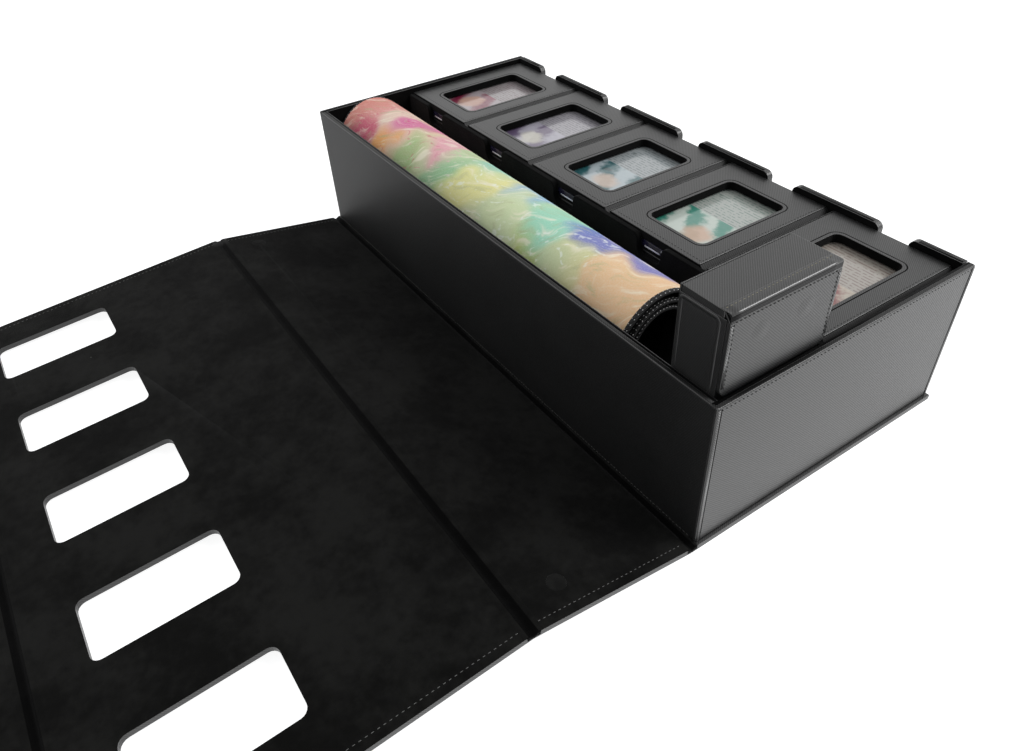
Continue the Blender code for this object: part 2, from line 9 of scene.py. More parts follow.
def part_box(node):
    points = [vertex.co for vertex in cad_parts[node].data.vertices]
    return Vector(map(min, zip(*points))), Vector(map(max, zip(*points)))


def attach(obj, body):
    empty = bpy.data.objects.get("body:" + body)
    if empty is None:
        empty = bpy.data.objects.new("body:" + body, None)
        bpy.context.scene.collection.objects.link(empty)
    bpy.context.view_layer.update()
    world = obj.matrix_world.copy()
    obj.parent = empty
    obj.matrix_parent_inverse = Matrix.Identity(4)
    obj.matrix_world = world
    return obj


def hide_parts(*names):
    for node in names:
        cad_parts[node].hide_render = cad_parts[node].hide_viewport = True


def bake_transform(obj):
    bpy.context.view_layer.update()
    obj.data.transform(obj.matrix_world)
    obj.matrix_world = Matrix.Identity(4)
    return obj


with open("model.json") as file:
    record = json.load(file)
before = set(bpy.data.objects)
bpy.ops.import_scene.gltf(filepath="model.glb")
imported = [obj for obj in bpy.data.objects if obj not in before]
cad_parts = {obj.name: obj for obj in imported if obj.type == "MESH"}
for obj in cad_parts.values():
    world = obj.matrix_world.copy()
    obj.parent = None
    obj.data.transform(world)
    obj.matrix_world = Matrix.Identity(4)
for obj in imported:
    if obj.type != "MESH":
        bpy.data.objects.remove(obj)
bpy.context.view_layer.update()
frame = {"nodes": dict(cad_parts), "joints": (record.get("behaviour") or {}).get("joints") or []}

MM = 0.001
DECKS = 5

# The photograph's viewing angle: the eye, and the turn from the world to the view.
IMAGE_WIDTH = 1024
FOCAL_PIXELS = 803.7367
SENSOR_WIDTH = 36.0
EYE = Vector((0.392854, -0.317781, 0.348714))
VIEW_TURN = Vector((2.074699, 1.072660, -0.544377))


# Small tools


# Each CAD node's lowest and highest corner.
BOX = {name: tuple(Vector(v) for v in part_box(name)) for name in frame["nodes"]}


def centre_of(node):
    low, high = BOX[node]
    return (low + high) / 2


class Recipe:
    """Nodes of one material, built from the coordinates of the object that wears it."""

    def __init__(self, name, **fixed):
        self.material = bpy.data.materials.new(name)
        self.material.use_nodes = True
        self.tree = self.material.node_tree
        self.shader = self.tree.nodes["Principled BSDF"]
        for key, value in fixed.items():
            self.shader.inputs[key.replace("_", " ")].default_value = value
        self.place = self.add("TexCoord").outputs["Object"]
        split = self.add("SeparateXYZ", self.place)
        self.x, self.y, self.z = split.outputs

    def put(self, socket, value):
        if isinstance(value, bpy.types.NodeSocket):
            self.tree.links.new(value, socket)
        elif value is not None:
            socket.default_value = value

    def add(self, kind, *inputs, **settings):
        node = self.tree.nodes.new("ShaderNode" + kind)
        for key, value in settings.items():
            setattr(node, key, value)
        for socket, value in zip(node.inputs, inputs):
            self.put(socket, value)
        return node

    def math(self, operation, *values):
        return self.add("Math", *values, operation=operation).outputs[0]

    def sum(self, *values):
        total = values[0]
        for value in values[1:]:
            total = self.math("ADD", total, value)
        return total

    def product(self, *values):
        total = values[0]
        for value in values[1:]:
            total = self.math("MULTIPLY", total, value)
        return total

    def between(self, value, low, high, to_low=0.0, to_high=1.0):
        kind = "SMOOTHSTEP"
        node = self.add("MapRange", value, low, high, to_low, to_high, interpolation_type=kind)
        return node.outputs[0]

    def noise(self, scale, detail=2.0, roughness=0.5, place=None):
        node = self.add("TexNoise")
        self.put(node.inputs["Vector"], place or self.place)
        node.inputs["Scale"].default_value = scale
        node.inputs["Detail"].default_value = detail
        node.inputs["Roughness"].default_value = roughness
        return node.outputs["Fac"]

    def blend(self, share, first, second):
        node = self.add("Mix", data_type="RGBA")
        self.put(node.inputs[0], share)
        for socket, value in ((node.inputs[6], first), (node.inputs[7], second)):
            self.put(socket, (*value, 1.0) if isinstance(value, tuple) else value)
        return node.outputs[2]

    def set(self, key, value):
        self.put(self.shader.inputs[key], value)

    def bump(self, height, distance):
        node = self.add("Bump")
        node.inputs["Distance"].default_value = distance
        self.put(node.inputs["Height"], height)
        self.set("Normal", node.outputs[0])

    def cells(self, scale):
        node = self.add("TexVoronoi", feature="F1")
        self.put(node.inputs["Vector"], self.place)
        node.inputs["Scale"].default_value = scale
        return node

    def specks(self, scale, size, share):
        """1 inside a few small spots, one in some of the cells, and 0 elsewhere."""
        cells = self.cells(scale)
        near = self.between(cells.outputs["Distance"], size, size / 2)
        chosen = self.add("SeparateColor", cells.outputs["Color"]).outputs[0]
        return self.product(near, self.math("LESS_THAN", chosen, share))


# Materials


RIB_PITCH = 1.06 * MM


def leatherette(name, tone, shine=0.5, rough=0.42, ribs=1.0, coat=0.45):
    """Black coated cloth, embossed with fine diagonal ribs that are broken now and then."""
    made = Recipe(name, Coat_Weight=coat, Coat_Roughness=0.3)
    pace = math.tau / (RIB_PITCH * math.sqrt(2))
    along = made.product(made.sum(made.x, made.y, made.z), pace)
    sway = made.noise(90, 3.0)
    rib = made.math("SINE", made.sum(along, made.product(sway, 2.4)))
    breaks = made.between(made.noise(1500, 1.0), 0.35, 0.6, 0.35, 1.0)
    rib = made.product(rib, breaks)
    cloud = made.noise(35, 3.0, 0.6)
    # The rib valleys are drawn in a darker colour: painted shade in the embossing.
    dark = tuple(c * 0.6 for c in tone)
    made.set("Base Color", made.blend(made.between(rib, -0.6, 0.8), dark, tone))
    ribbed = made.between(rib, -0.8, 0.8, -0.3 * ribs, 0.3 * ribs)
    level = made.sum(ribbed, made.product(cloud, 0.25), -0.125)
    made.set("Specular IOR Level", made.sum(made.product(level, shine), shine))
    made.set("Roughness", made.sum(made.product(level, -0.16), made.product(cloud, 0.1), rough))
    grain = made.product(made.noise(2600, 2.0), 0.35)
    made.bump(made.sum(rib, grain), 0.035 * MM * ribs)
    return made.material


def suede(name, tone, lint=True):
    """Black microfibre: the nap lies this way and that, with a little lint on it."""
    made = Recipe(name, Specular_IOR_Level=0.04, Sheen_Weight=0.05, Sheen_Roughness=0.45)
    patches = made.noise(22, 4.0, 0.62)
    strokes = made.noise(160, 3.0, 0.6)
    nap = made.sum(made.product(patches, 0.7), made.product(strokes, 0.3))
    dark = tuple(c * 0.55 for c in tone)
    pale = tuple(c * 1.5 for c in tone)
    colour = made.blend(made.between(nap, 0.36, 0.64), dark, pale)
    if lint:
        colour = made.blend(made.specks(110, 0.035, 0.035), colour, (0.22, 0.22, 0.21))
    made.set("Base Color", colour)
    made.set("Roughness", made.between(nap, 0.3, 0.7, 1.0, 0.86))
    fibres = made.noise(3500, 2.0)
    made.bump(made.sum(made.product(strokes, 0.6), fibres), 0.12 * MM)
    return made.material


def thread(name, tone):
    """Twisted sewing thread."""
    made = Recipe(name, Specular_IOR_Level=0.35)
    twist = made.math("SINE", made.product(made.sum(made.x, made.y, made.z), 9000))
    shade = made.sum(made.product(twist, 0.25), made.noise(260), -0.1)
    dark = tuple(c * 0.55 for c in tone)
    made.set("Base Color", made.blend(shade, dark, tone))
    made.set("Roughness", made.between(twist, -1.0, 1.0, 0.75, 0.5))
    made.bump(twist, 0.05 * MM)
    return made.material


def clear_plastic(name):
    """The hard sleeve's edge: bluish and glossy, finely scuffed all over."""
    made = Recipe(name, IOR=1.49, Coat_Weight=0.6, Coat_Roughness=0.05)
    cloud = made.noise(70, 3.0)
    made.set("Base Color", made.blend(cloud, (0.007, 0.006, 0.016), (0.028, 0.026, 0.06)))
    made.set("Roughness", made.between(made.noise(420, 3.0), 0.3, 0.7, 0.1, 0.28))
    made.bump(made.noise(150), 0.05 * MM)
    return made.material


def painted_highlight_plastic(name):
    """A pale copy of the sleeve's plastic: painted highlight where the sleeve shines in a notch."""
    made = Recipe(name, IOR=1.49)
    cloud = made.noise(400, 3.0)
    made.set("Base Color", made.blend(cloud, (0.55, 0.55, 0.6), (0.85, 0.85, 0.9)))
    made.set("Roughness", made.between(cloud, 0.2, 0.8, 0.15, 0.4))
    made.bump(cloud, 0.02 * MM)
    return made.material


def steel(name):
    """Brushed metal of the magnets."""
    made = Recipe(name, Metallic=1.0)
    brushed = made.noise(900, 3.0)
    made.set("Base Color", made.blend(brushed, (0.32, 0.32, 0.33), (0.5, 0.5, 0.51)))
    made.set("Roughness", made.between(brushed, 0.2, 0.8, 0.3, 0.5))
    made.bump(brushed, 0.02 * MM)
    return made.material


LEATHER = leatherette("leatherette", (0.0026, 0.0028, 0.0030))
SUEDE = suede("suede", (0.0068, 0.0068, 0.0064))
LINING = suede("lining", (0.0022, 0.0022, 0.0022), lint=False)
TRIM = leatherette("trim", (0.0026, 0.0027, 0.0028), 0.3, 0.5, 0.5, 0.0)
FRONT = leatherette("front_leatherette", (0.0026, 0.0027, 0.0028), 0.34, 0.5, 1.2, 0.0)
GLOSSY = leatherette("glossy_edge", (0.003, 0.003, 0.0034), 0.6, 0.3, 0.3, 0.6)
# Lighter copies of the suede and of the front wall's leatherette for the low domes over the magnets: painted
# highlight.
LIT_SUEDE = suede("suede_painted_highlight", (0.0125, 0.0125, 0.012), lint=False)
LIT_FRONT = leatherette("front_painted_highlight", (0.006, 0.0058, 0.0055), 0.36, 0.55, 0.6, 0.0)
# A lighter, glossier copy of the leatherette for rolled edges: painted highlight.
HIGHLIGHT_EDGE = leatherette("rolled_edge_highlight", (0.006, 0.0062, 0.0066), 0.85, 0.36, 1.6, 0.9)
BAND = leatherette("fold_band", (0.0024, 0.0024, 0.0028), 0.16, 0.34, 0.3, 0.0)
# A near-black copy of the suede for the crease grooves, the lines beside the corner rolls and the pressed
# lines round the windows: painted shade.
GROOVE_SHADE = suede("groove", (0.0008, 0.0008, 0.0008), lint=False)
PLASTIC = clear_plastic("clear_plastic")
STEEL = steel("magnet")
PALE_THREAD = thread("pale_thread", (0.16, 0.16, 0.155))
GOLD_THREAD = thread("gold_thread", (0.26, 0.24, 0.17))
DIM_THREAD = thread("dim_thread", (0.12, 0.12, 0.11))
DARK_THREAD = thread("dark_thread", (0.02, 0.02, 0.02))
MAT_THREAD = thread("mat_thread", (0.8, 0.8, 0.8))
HIGHLIGHT_PLASTIC = painted_highlight_plastic("painted_highlight_plastic")


# Dressing of the CAD nodes: welded, finer edges, and a second material on some faces


def face_rule(toward, share=0.6):
    """Geometry nodes that give every face looking along `toward` another material."""
    name = "faces_" + "_".join(f"{v:+.2f}" for v in toward)
    tree = bpy.data.node_groups.new(name, "GeometryNodeTree")
    for way in ("INPUT", "OUTPUT"):
        tree.interface.new_socket("Geometry", in_out=way, socket_type="NodeSocketGeometry")
    kind = "NodeSocketMaterial"
    tree.interface.new_socket("Material", in_out="INPUT", socket_type=kind)
    nodes = tree.nodes
    source, result = nodes.new("NodeGroupInput"), nodes.new("NodeGroupOutput")
    normal = nodes.new("GeometryNodeInputNormal")
    dot = nodes.new("ShaderNodeVectorMath")
    dot.operation = "DOT_PRODUCT"
    dot.inputs[1].default_value = toward
    above = nodes.new("ShaderNodeMath")
    above.operation = "GREATER_THAN"
    above.inputs[1].default_value = share
    setter = nodes.new("GeometryNodeSetMaterial")
    link = tree.links.new
    link(normal.outputs[0], dot.inputs[0])
    link(dot.outputs["Value"], above.inputs[0])
    link(above.outputs[0], setter.inputs["Selection"])
    link(source.outputs["Geometry"], setter.inputs["Geometry"])
    link(source.outputs["Material"], setter.inputs["Material"])
    link(setter.outputs[0], result.inputs[0])
    return tree


def paint_faces(obj, tree, material):
    """Puts a face rule on an object, with the material it gives."""
    modifier = obj.modifiers.new(tree.name, "NODES")
    modifier.node_group = tree
    for item in tree.interface.items_tree:
        if item.item_type == "SOCKET" and item.name == "Material":
            modifier[item.identifier] = material


WELD_DISTANCE = 0.01 * MM
EDGE_ANGLE = math.radians(40)


def dress(node, material, edge, rules=()):
    """Gives a CAD node its material and rounds its edges."""
    obj = frame["nodes"][node]
    if not obj.material_slots:
        obj.data.materials.append(material)
    for slot in obj.material_slots:
        slot.link = "OBJECT"
        slot.material = material
    weld = obj.modifiers.new("Weld", "WELD")
    weld.merge_threshold = WELD_DISTANCE
    for tree, second in rules:
        paint_faces(obj, tree, second)
    if edge:
        bevel = obj.modifiers.new("Edges", "BEVEL")
        bevel.width = edge
        bevel.segments = 3
        bevel.limit_method = "ANGLE"
        bevel.angle_limit = EDGE_ANGLE
        bevel.harden_normals = True


FOLD = {j["name"]: Vector(j["pos_m"]) for j in frame["joints"] if "pos_m" in j}
BOARD = BOX["base_panel"][1].z
UP = Vector((0, 0, 1))
RIGHT = Vector((1, 0, 0))
FORWARD = Vector((0, -1, 0))
END_WALLS = (("left_end_wall", -1), ("right_end_wall", 1))


class Plane:
    """A flat face: points on it are given across, along and off it."""

    def __init__(self, origin, across, along, off=None):
        self.origin, self.across, self.along = Vector(origin), Vector(across), Vector(along)
        self.off = Vector(off) if off else self.across.cross(self.along)

    def at(self, a, b, height=0.0):
        return self.origin + self.across * a + self.along * b + self.off * height


def cover_plane(fold, following):
    """The inner face of a cover panel: across is +X, along runs away from the tray."""
    start = FOLD[fold]
    if following:
        along = (FOLD[following] - start).normalized()
    else:
        along = FORWARD
    off = along.cross(RIGHT)
    if off.z < 0:
        off = -off
    return Plane(start + off * BOARD, RIGHT, along, off)


PANELS = {
    "front": cover_plane("front_fold", "top_fold"),
    "top": cover_plane("top_fold", "rear_fold"),
    "rear": cover_plane("rear_fold", None),
}
REACH = {
    "front": (FOLD["top_fold"] - FOLD["front_fold"]).length,
    "top": (FOLD["rear_fold"] - FOLD["top_fold"]).length,
    "rear": FOLD["rear_fold"].y - BOX["cover_rear_panel"][0].y,
}


# New pieces


def piece(name, points, faces, materials, body, looks=None):
    """A smooth closed mesh on a body. looks gives each face the number of its material."""
    mesh = bpy.data.meshes.new(name)
    mesh.from_pydata([tuple(p) for p in points], [], faces)
    shell = bmesh.new()
    shell.from_mesh(mesh)
    bmesh.ops.recalc_face_normals(shell, faces=shell.faces)
    shell.to_mesh(mesh)
    shell.free()
    mesh.update()
    obj = bpy.data.objects.new(name, mesh)
    bpy.context.scene.collection.objects.link(obj)
    for material in materials:
        mesh.materials.append(material)
    for face in mesh.polygons:
        face.use_smooth = True
        if looks:
            face.material_index = looks[face.index]
    if body:
        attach(obj, body)
    return obj


def grid_faces(rows, columns, first=0, around=False):
    """Quads between rows of points, each row closed on itself if around."""
    faces = []
    for row in range(rows - 1):
        for column in range(columns if around else columns - 1):
            a = first + row * columns + column
            b = first + row * columns + (column + 1) % columns
            faces.append((a, b, b + columns, a + columns))
    return faces


# Least values for widening a section at a bend, and for the length of its sideways direction.
BEND_LIMIT = 0.5
SIDE_LIMIT = 0.2


def sweep(path, off, profile, closed=False):
    """Points and faces of a profile of (side, height) drawn along a path on a face."""
    points = []
    count = len(path)
    for index, point in enumerate(path):
        before = path[index - 1] if index or closed else point
        after = path[(index + 1) % count] if index < count - 1 or closed else point
        first = (point - before).normalized() if point != before else (after - point).normalized()
        second = (after - point).normalized() if point != after else first
        along = (first + second).normalized()
        side = along.cross(off)
        side /= max(side.length, SIDE_LIMIT) * max(first.dot(along), BEND_LIMIT)
        points += [point + side * s + off * h for s, h in profile]
    size = len(profile)
    faces = grid_faces(count, size, 0, True)
    if closed:
        last = (count - 1) * size
        for column in range(size):
            other = (column + 1) % size
            faces.append((last + column, last + other, other, column))
    else:
        faces.append(tuple(range(size))[::-1])
        faces.append(tuple(range((count - 1) * size, count * size)))
    return points, faces


def shell_faces(rows, columns):
    """Faces of a closed sheet: rows of points, the same rows again below them, and the rim."""
    shift = rows * columns
    faces = grid_faces(rows, columns)
    faces += [tuple(i + shift for i in face[::-1]) for face in faces]
    for a in range(0, shift - columns, columns):
        b, c, d = a + columns, a + columns - 1, a + 2 * columns - 1
        faces += [(a, a + shift, b + shift, b), (c, d, d + shift, c + shift)]
    for a in range(columns - 1):
        b = shift - columns + a
        faces += [(a, a + 1, a + 1 + shift, a + shift), (b, b + shift, b + 1 + shift, b + 1)]
    return faces


def sheet_looks(faces, columns, tops, unders, rim):
    """Each face's material on a closed sheet: by row on both sides, and one for the rim."""
    looks = [look for side in (tops, unders) for look in side for _ in range(columns - 1)]
    return looks + [rim] * (len(faces) - len(looks))


# Half the section of a flat rolled strip, as shares of its half width and of its height.
ROLL_SHARES = ((1.0, 0.0), (0.8, 0.7), (0.4, 1.0))
ROLL_SINK = 0.1 * MM


def pillow(width, height):
    """Section of a flat rolled strip: it bulges by height over a face and is sunk at its sides."""
    half = width / 2
    left = [(-s * half, h * height) for s, h in ROLL_SHARES]
    right = [(s * half, h * height) for s, h in reversed(ROLL_SHARES)]
    return [(-half, -ROLL_SINK), *left, *right, (half, -ROLL_SINK)]


def joined(parts):
    """Points and faces of several meshes as one."""
    points, faces = [], []
    for more_points, more_faces in parts:
        first = len(points)
        points += more_points
        faces += [tuple(first + index for index in face) for face in more_faces]
    return points, faces


def rounded_path(corners, radius, steps):
    """Corners of a rectangle on a face, with each turned into an arc."""
    path = []
    count = len(corners)
    for index, corner in enumerate(corners):
        before, after = Vector(corners[index - 1]), Vector(corners[(index + 1) % count])
        here = Vector(corner)
        to_before, to_after = (before - here).normalized(), (after - here).normalized()
        centre = here + (to_before + to_after) * radius
        for step in range(steps + 1):
            turn = step / steps * math.pi / 2
            path.append(centre - (to_after * math.cos(turn) + to_before * math.sin(turn)) * radius)
    return path


def on(plane, path):
    return [plane.at(*point) for point in path]


def rectangle(low, high):
    """Corners of a rectangle between two points of a face."""
    return [(low[0], low[1]), (high[0], low[1]), (high[0], high[1]), (low[0], high[1])]


def line(start, end, count=2):
    return [Vector(start).lerp(Vector(end), n / (count - 1)) for n in range(count)]


def circle(centre, side, other, radius, count):
    turns = [number * math.tau / count for number in range(count)]
    return [centre + (side * math.cos(turn) + other * math.sin(turn)) * radius for turn in turns]


# A stitch's rings: place along it, thickness and rise, as shares of its length and width.
STITCH_HALF = ((0.5, 0.3, -0.35), (0.3, 0.85, 0.05))
STITCH_RINGS = (
    *((-place, fat, rise) for place, fat, rise in STITCH_HALF), (0.0, 1.0, 0.15), *STITCH_HALF[::-1],
)
STITCH_SIDES = 6


def stitch(centre, along, off, length, width):
    """One stitch: a short rounded bar whose ends dip into the cloth."""
    side = along.cross(off)
    points = []
    for place, fat, rise in STITCH_RINGS:
        middle = centre + along * place * length + off * rise * width
        points += circle(middle, side, off, fat * width / 2, STITCH_SIDES)
    faces = grid_faces(len(STITCH_RINGS), STITCH_SIDES, 0, True)
    faces.append(tuple(range(STITCH_SIDES))[::-1])
    faces.append(tuple(range(len(points) - STITCH_SIDES, len(points))))
    return points, faces


# Each seam's stitches, in millimetres: pitch, length and width.
COVER_STITCH = (3.0, 2.1, 0.5)
DECK_STITCH = (2.6, 1.7, 0.4)
LID_STITCH = (2.6, 1.7, 0.45)
FLAP_STITCH = (2.6, 1.6, 0.5)
WALL_STITCH = (2.7, 1.5, 0.5)
FOOT_STITCH = (2.6, 2.2, 0.4)
# The most of its pitch that a stitch may take.
LONGEST_SHARE = 0.72


def seam(name, body, runs, material, size):
    """Rows of stitches along paths, each given with the direction off its face."""
    pitch, length, width = (value * MM for value in size)
    parts = []
    for path, off in runs:
        for start, end in zip(path, path[1:]):
            span = (end - start).length
            count = max(int(span / pitch + 0.5), 1)
            along = (end - start) / span
            short = min(length, LONGEST_SHARE * span / count)
            for number in range(count):
                centre = start.lerp(end, (number + 0.5) / count)
                parts.append(stitch(centre, along, off, short, width))
    points, faces = joined(parts)
    piece(name, points, faces, [material], body)


def bead(name, paths, width, height, material, body, closed=False):
    """Flat rolled strips along paths, each given with the direction off its face."""
    points, faces = joined([sweep(path, off, pillow(width, height), closed) for path, off in paths])
    piece(name, points, faces, [material], body)


DOME_RINGS = 7
DOME_SIDES = 28
DOME_SINK = 0.05 * MM


def dome(name, centre, off, radius, height, material, body, hides=None):
    """The low round bump that a magnet makes under its covering."""
    off = Vector(off)
    side = off.cross(UP if abs(off.z) < 0.5 else RIGHT).normalized()
    other = off.cross(side)
    points = [Vector(centre) + off * height]
    for number in range(1, DOME_RINGS + 1):
        share = number / DOME_RINGS
        rise = height * (0.5 + 0.5 * math.cos(math.pi * share)) - DOME_SINK * (number == DOME_RINGS)
        points += circle(Vector(centre) + off * rise, side, other, radius * share, DOME_SIDES)
    faces = [(0, 1 + n, 1 + (n + 1) % DOME_SIDES) for n in range(DOME_SIDES)]
    faces += grid_faces(DOME_RINGS, DOME_SIDES, 1, True)
    last = 1 + (DOME_RINGS - 1) * DOME_SIDES
    faces.append(tuple(range(last, last + DOME_SIDES)))
    made = piece(name, points, faces, [material], body)
    if hides:
        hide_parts(hides)


# Looks of the tray, the cover and the boxes


TOWARD = {
    "+x": face_rule((1, 0, 0)),
    "-x": face_rule((-1, 0, 0)),
    "+y": face_rule((0, 1, 0)),
    "-y": face_rule((0, -1, 0)),
    "+z": face_rule((0, 0, 1)),
    "slant": face_rule((0.78, 0, 0.62), 0.9),
}
SIDES = [(TOWARD[key], LINING) for key in ("+x", "-x", "+y", "-y")]


WALL_EDGE = 1.1 * MM
DIVIDER_EDGE = 0.9 * MM
BOARD_EDGE = 0.5 * MM
BOX_EDGE = 0.4 * MM
FINE_EDGE = 0.2 * MM


def dress_tray():
    dress("base_panel", LEATHER, BOARD_EDGE)
    dress("tray_floor", LINING, 0)
    dress("divider_wall", LINING, DIVIDER_EDGE)
    inside = {"front_wall": "+y", "rear_wall": "-y", "left_end_wall": "+x", "right_end_wall": "-x"}
    for node, toward in inside.items():
        dress(node, LEATHER, WALL_EDGE, rules=[(TOWARD[toward], LINING)])


def dress_cover():
    for key, plane in PANELS.items():
        rule = face_rule(tuple(plane.off), 0.8)
        dress(f"cover_{key}_panel", LEATHER, BOARD_EDGE, rules=[(rule, SUEDE)])


def dress_decks():
    for number in range(1, DECKS + 1):
        name = f"deck_box_{number}_"
        dress(name + "body", LEATHER, BOX_EDGE)
        dress(name + "lid_frame", LEATHER, BOARD_EDGE, rules=[*SIDES, (TOWARD["slant"], TRIM)])
        dress(name + "lid_back", LINING, FINE_EDGE)
        dress(name + "card_sleeve", PLASTIC, FINE_EDGE)
        dress(name + "display_card", CARDS[number - 1], 0)
        dress(name + "flap", LEATHER, BOX_EDGE, rules=[(TOWARD["slant"], TRIM)])


def dress_accessory():
    for part in ("body", "lid", "flap"):
        dress("accessory_box_" + part, LEATHER, BOARD_EDGE)
    for side in ("front", "rear"):
        dress(f"accessory_flap_magnet_{side}", STEEL, FINE_EDGE)
        dress(f"accessory_body_magnet_{side}", STEEL, FINE_EDGE)


# Cards: bands and a disc of colour over a ruled panel, like a game card seen from afar


def card_material(number, dark, middle, pale, warm):
    """A generic design: a dark edge, soft bands of colour with a disc, and a ruled panel."""
    low, high = BOX[f"deck_box_{number}_display_card"]
    made = Recipe(f"card_{number}", Coat_Weight=1.0, Coat_Roughness=0.12, Coat_IOR=1.5)
    width, depth = high.x - low.x, high.y - low.y
    across = made.math("DIVIDE", made.math("SUBTRACT", made.x, low.x), width)
    along = made.math("DIVIDE", made.math("SUBTRACT", made.y, low.y), depth)
    haze = made.noise(38 + 6 * number, 4.0, 0.6)
    warp = made.product(made.sum(haze, -0.5), 0.5)
    bands = made.math("SINE", made.product(made.sum(across, along, warp), 11 + number))
    colour = made.blend(made.between(bands, -0.9, 0.9), middle, tuple(0.8 * p for p in pale))
    disc = made.math("SUBTRACT", across, 0.3 + 0.07 * number)
    disc = made.product(disc, disc)
    rise = made.sum(along, -0.33 + 0.02 * number, made.product(warp, 0.5))
    disc = made.sum(disc, made.product(rise, rise, 2.2))
    colour = made.blend(made.between(disc, 0.045, 0.01, 0.0, 0.8), colour, warm)
    panel = made.math("GREATER_THAN", along, 0.52)
    ruled = made.math("SINE", made.product(along, math.tau * 34))
    words = made.between(made.noise(420, 1.0), 0.42, 0.52)
    lines = made.product(made.between(ruled, 0.0, 0.8), words, 0.55)
    plain = tuple(0.35 * p + 0.12 * haze_tone for p, haze_tone in zip(pale, (1.0, 0.98, 0.95)))
    ink = tuple(0.5 * m + 0.02 for m in middle)
    colour = made.blend(panel, colour, made.blend(lines, plain, ink))
    edge = made.math("GREATER_THAN", made.math("ABSOLUTE", made.sum(across, -0.5)), 0.455)
    colour = made.blend(edge, colour, dark)
    colour = made.blend(made.between(haze, 0.62, 0.75), colour, dark)
    made.set("Base Color", colour)
    made.set("Roughness", made.between(made.noise(300), 0.3, 0.7, 0.3, 0.45))
    made.bump(made.noise(900), 0.01 * MM)
    return made.material


CARDS = [
    card_material(1, (0.03, 0.004, 0.012), (0.16, 0.012, 0.04), (0.42, 0.36, 0.38), (0.5, 0.28, 0.2)),
    card_material(2, (0.02, 0.012, 0.03), (0.10, 0.07, 0.13), (0.45, 0.43, 0.50), (0.5, 0.48, 0.4)),
    card_material(3, (0.004, 0.016, 0.018), (0.02, 0.09, 0.10), (0.45, 0.52, 0.55), (0.5, 0.38, 0.3)),
    card_material(4, (0.006, 0.04, 0.03), (0.03, 0.19, 0.14), (0.55, 0.62, 0.56), (0.5, 0.3, 0.2)),
    card_material(5, (0.03, 0.006, 0.006), (0.16, 0.03, 0.03), (0.5, 0.44, 0.36), (0.45, 0.3, 0.2)),
]


# The mat


MAT_TURN_STEP = 4.2 * MM
MAT_HALF_THICKNESS = 1.0 * MM
MAT_SHEET = (0.355, 0.610)
MAT_STEPS = 72
# The share of the first turn after which the mat steps in, to pass under its own outer edge.
STEP_IN_START = 0.75
PRINT_UNIT = 0.1
# In the print's coordinates, which are in millimetres.
WEAVE_PITCH = 0.62
# The pitch of the binding's turns along the edge.
BINDING_PITCH = 0.85 * MM


def mat_line():
    """The middle line of the wound mat in the Y-Z plane, with the outward side of each point."""
    low, high = BOX["rolled_mat"]
    centre = centre_of("rolled_mat")
    half_y = (high.y - low.y) / 2 - MAT_HALF_THICKNESS
    half_z = (high.z - low.z) / 2 - MAT_HALF_THICKNESS

    def middle(angle):
        turns = angle / math.tau
        step_in = (turns - STEP_IN_START) / (1 - STEP_IN_START)
        shrink = MAT_TURN_STEP * max(min(step_in, 1), turns * (turns > 1), 0)
        y = centre.y + (half_y - shrink) * math.sin(angle)
        return Vector((0, y, centre.z - (half_z - shrink) * math.cos(angle)))

    points, wound, lengths = [middle(0)], 0.0, [0.0]
    while wound < MAT_SHEET[1]:
        ahead = middle(len(points) * math.tau / MAT_STEPS)
        stretch = (ahead - points[-1]).length
        reach = min(1, (MAT_SHEET[1] - wound) / stretch)
        points.append(points[-1].lerp(ahead, reach))
        wound += stretch
        lengths.append(min(wound, MAT_SHEET[1]))
    sides = []
    for index in range(len(points)):
        before, after = points[max(index - 1, 0)], points[min(index + 1, len(points) - 1)]
        along = (after - before).normalized()
        sides.append(Vector((0, along.z, -along.y)))
    return points, sides, lengths


# The bound edges in millimetres: distance in from the end, and half the thickness there.
END_SECTION = ((0.0, 0.3), (0.25, 0.75), (0.8, 1.05), (1.4, 1.12), (2.4, 1.12), (3.0, 0.98))
MAT_SPANS = 36


def mat_stations():
    """Places along the mat's axis, each with its half thickness: the bound edges are thicker."""
    low, high = BOX["rolled_mat"]
    border, half = (value * MM for value in END_SECTION[-1])
    first, last = low.x + border, high.x - border
    ends = [(low.x + d * MM, h * MM) for d, h in END_SECTION]
    middles = [(first + (last - first) * n / MAT_SPANS, half) for n in range(1, MAT_SPANS)]
    return ends + middles + [(high.x - d * MM, h * MM) for d, h in reversed(END_SECTION)]


def build_mat(cloth, rubber, binding):
    """The wound sheet: print outside, rubber inside, and a binding round its edges; near the ends the inner
    turns are drawn dark as painted shade between the layers.
    """
    line_points, sides, lengths = mat_line()
    stations = mat_stations()
    points, uvs = [], []
    for face in (1, -1):
        for x, half in stations:
            for point, side, wound in zip(line_points, sides, lengths):
                place = point + side * half * face
                points.append((x, place.y, place.z))
                uvs.append((wound / PRINT_UNIT, (x - stations[0][0]) / PRINT_UNIT))
    rows, columns, bound = len(stations), len(line_points), len(END_SECTION)
    faces = shell_faces(rows, columns)
    looks = []
    for face in (0, 1):
        for row in range(rows - 1):
            near_end = row < bound - 1 or row >= rows - bound
            next_to_end = row < bound or row > rows - 3 - bound
            for column in range(columns - 1):
                # Inner turns near the ends take the binding's dark material: painted shade between the wound
                # layers.
                shaded_turn = column > MAT_STEPS and next_to_end
                looks.append(2 if near_end or shaded_turn else face)
    looks += [2] * (len(faces) - len(looks))
    mat = piece("mat_sheet", points, faces, [cloth, rubber, binding], "mat", looks)
    layer = mat.data.uv_layers.new(name="Print")
    for loop in mat.data.loops:
        layer.data[loop.index].uv = uvs[loop.vertex_index]
    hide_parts("rolled_mat")
    return mat, line_points, sides


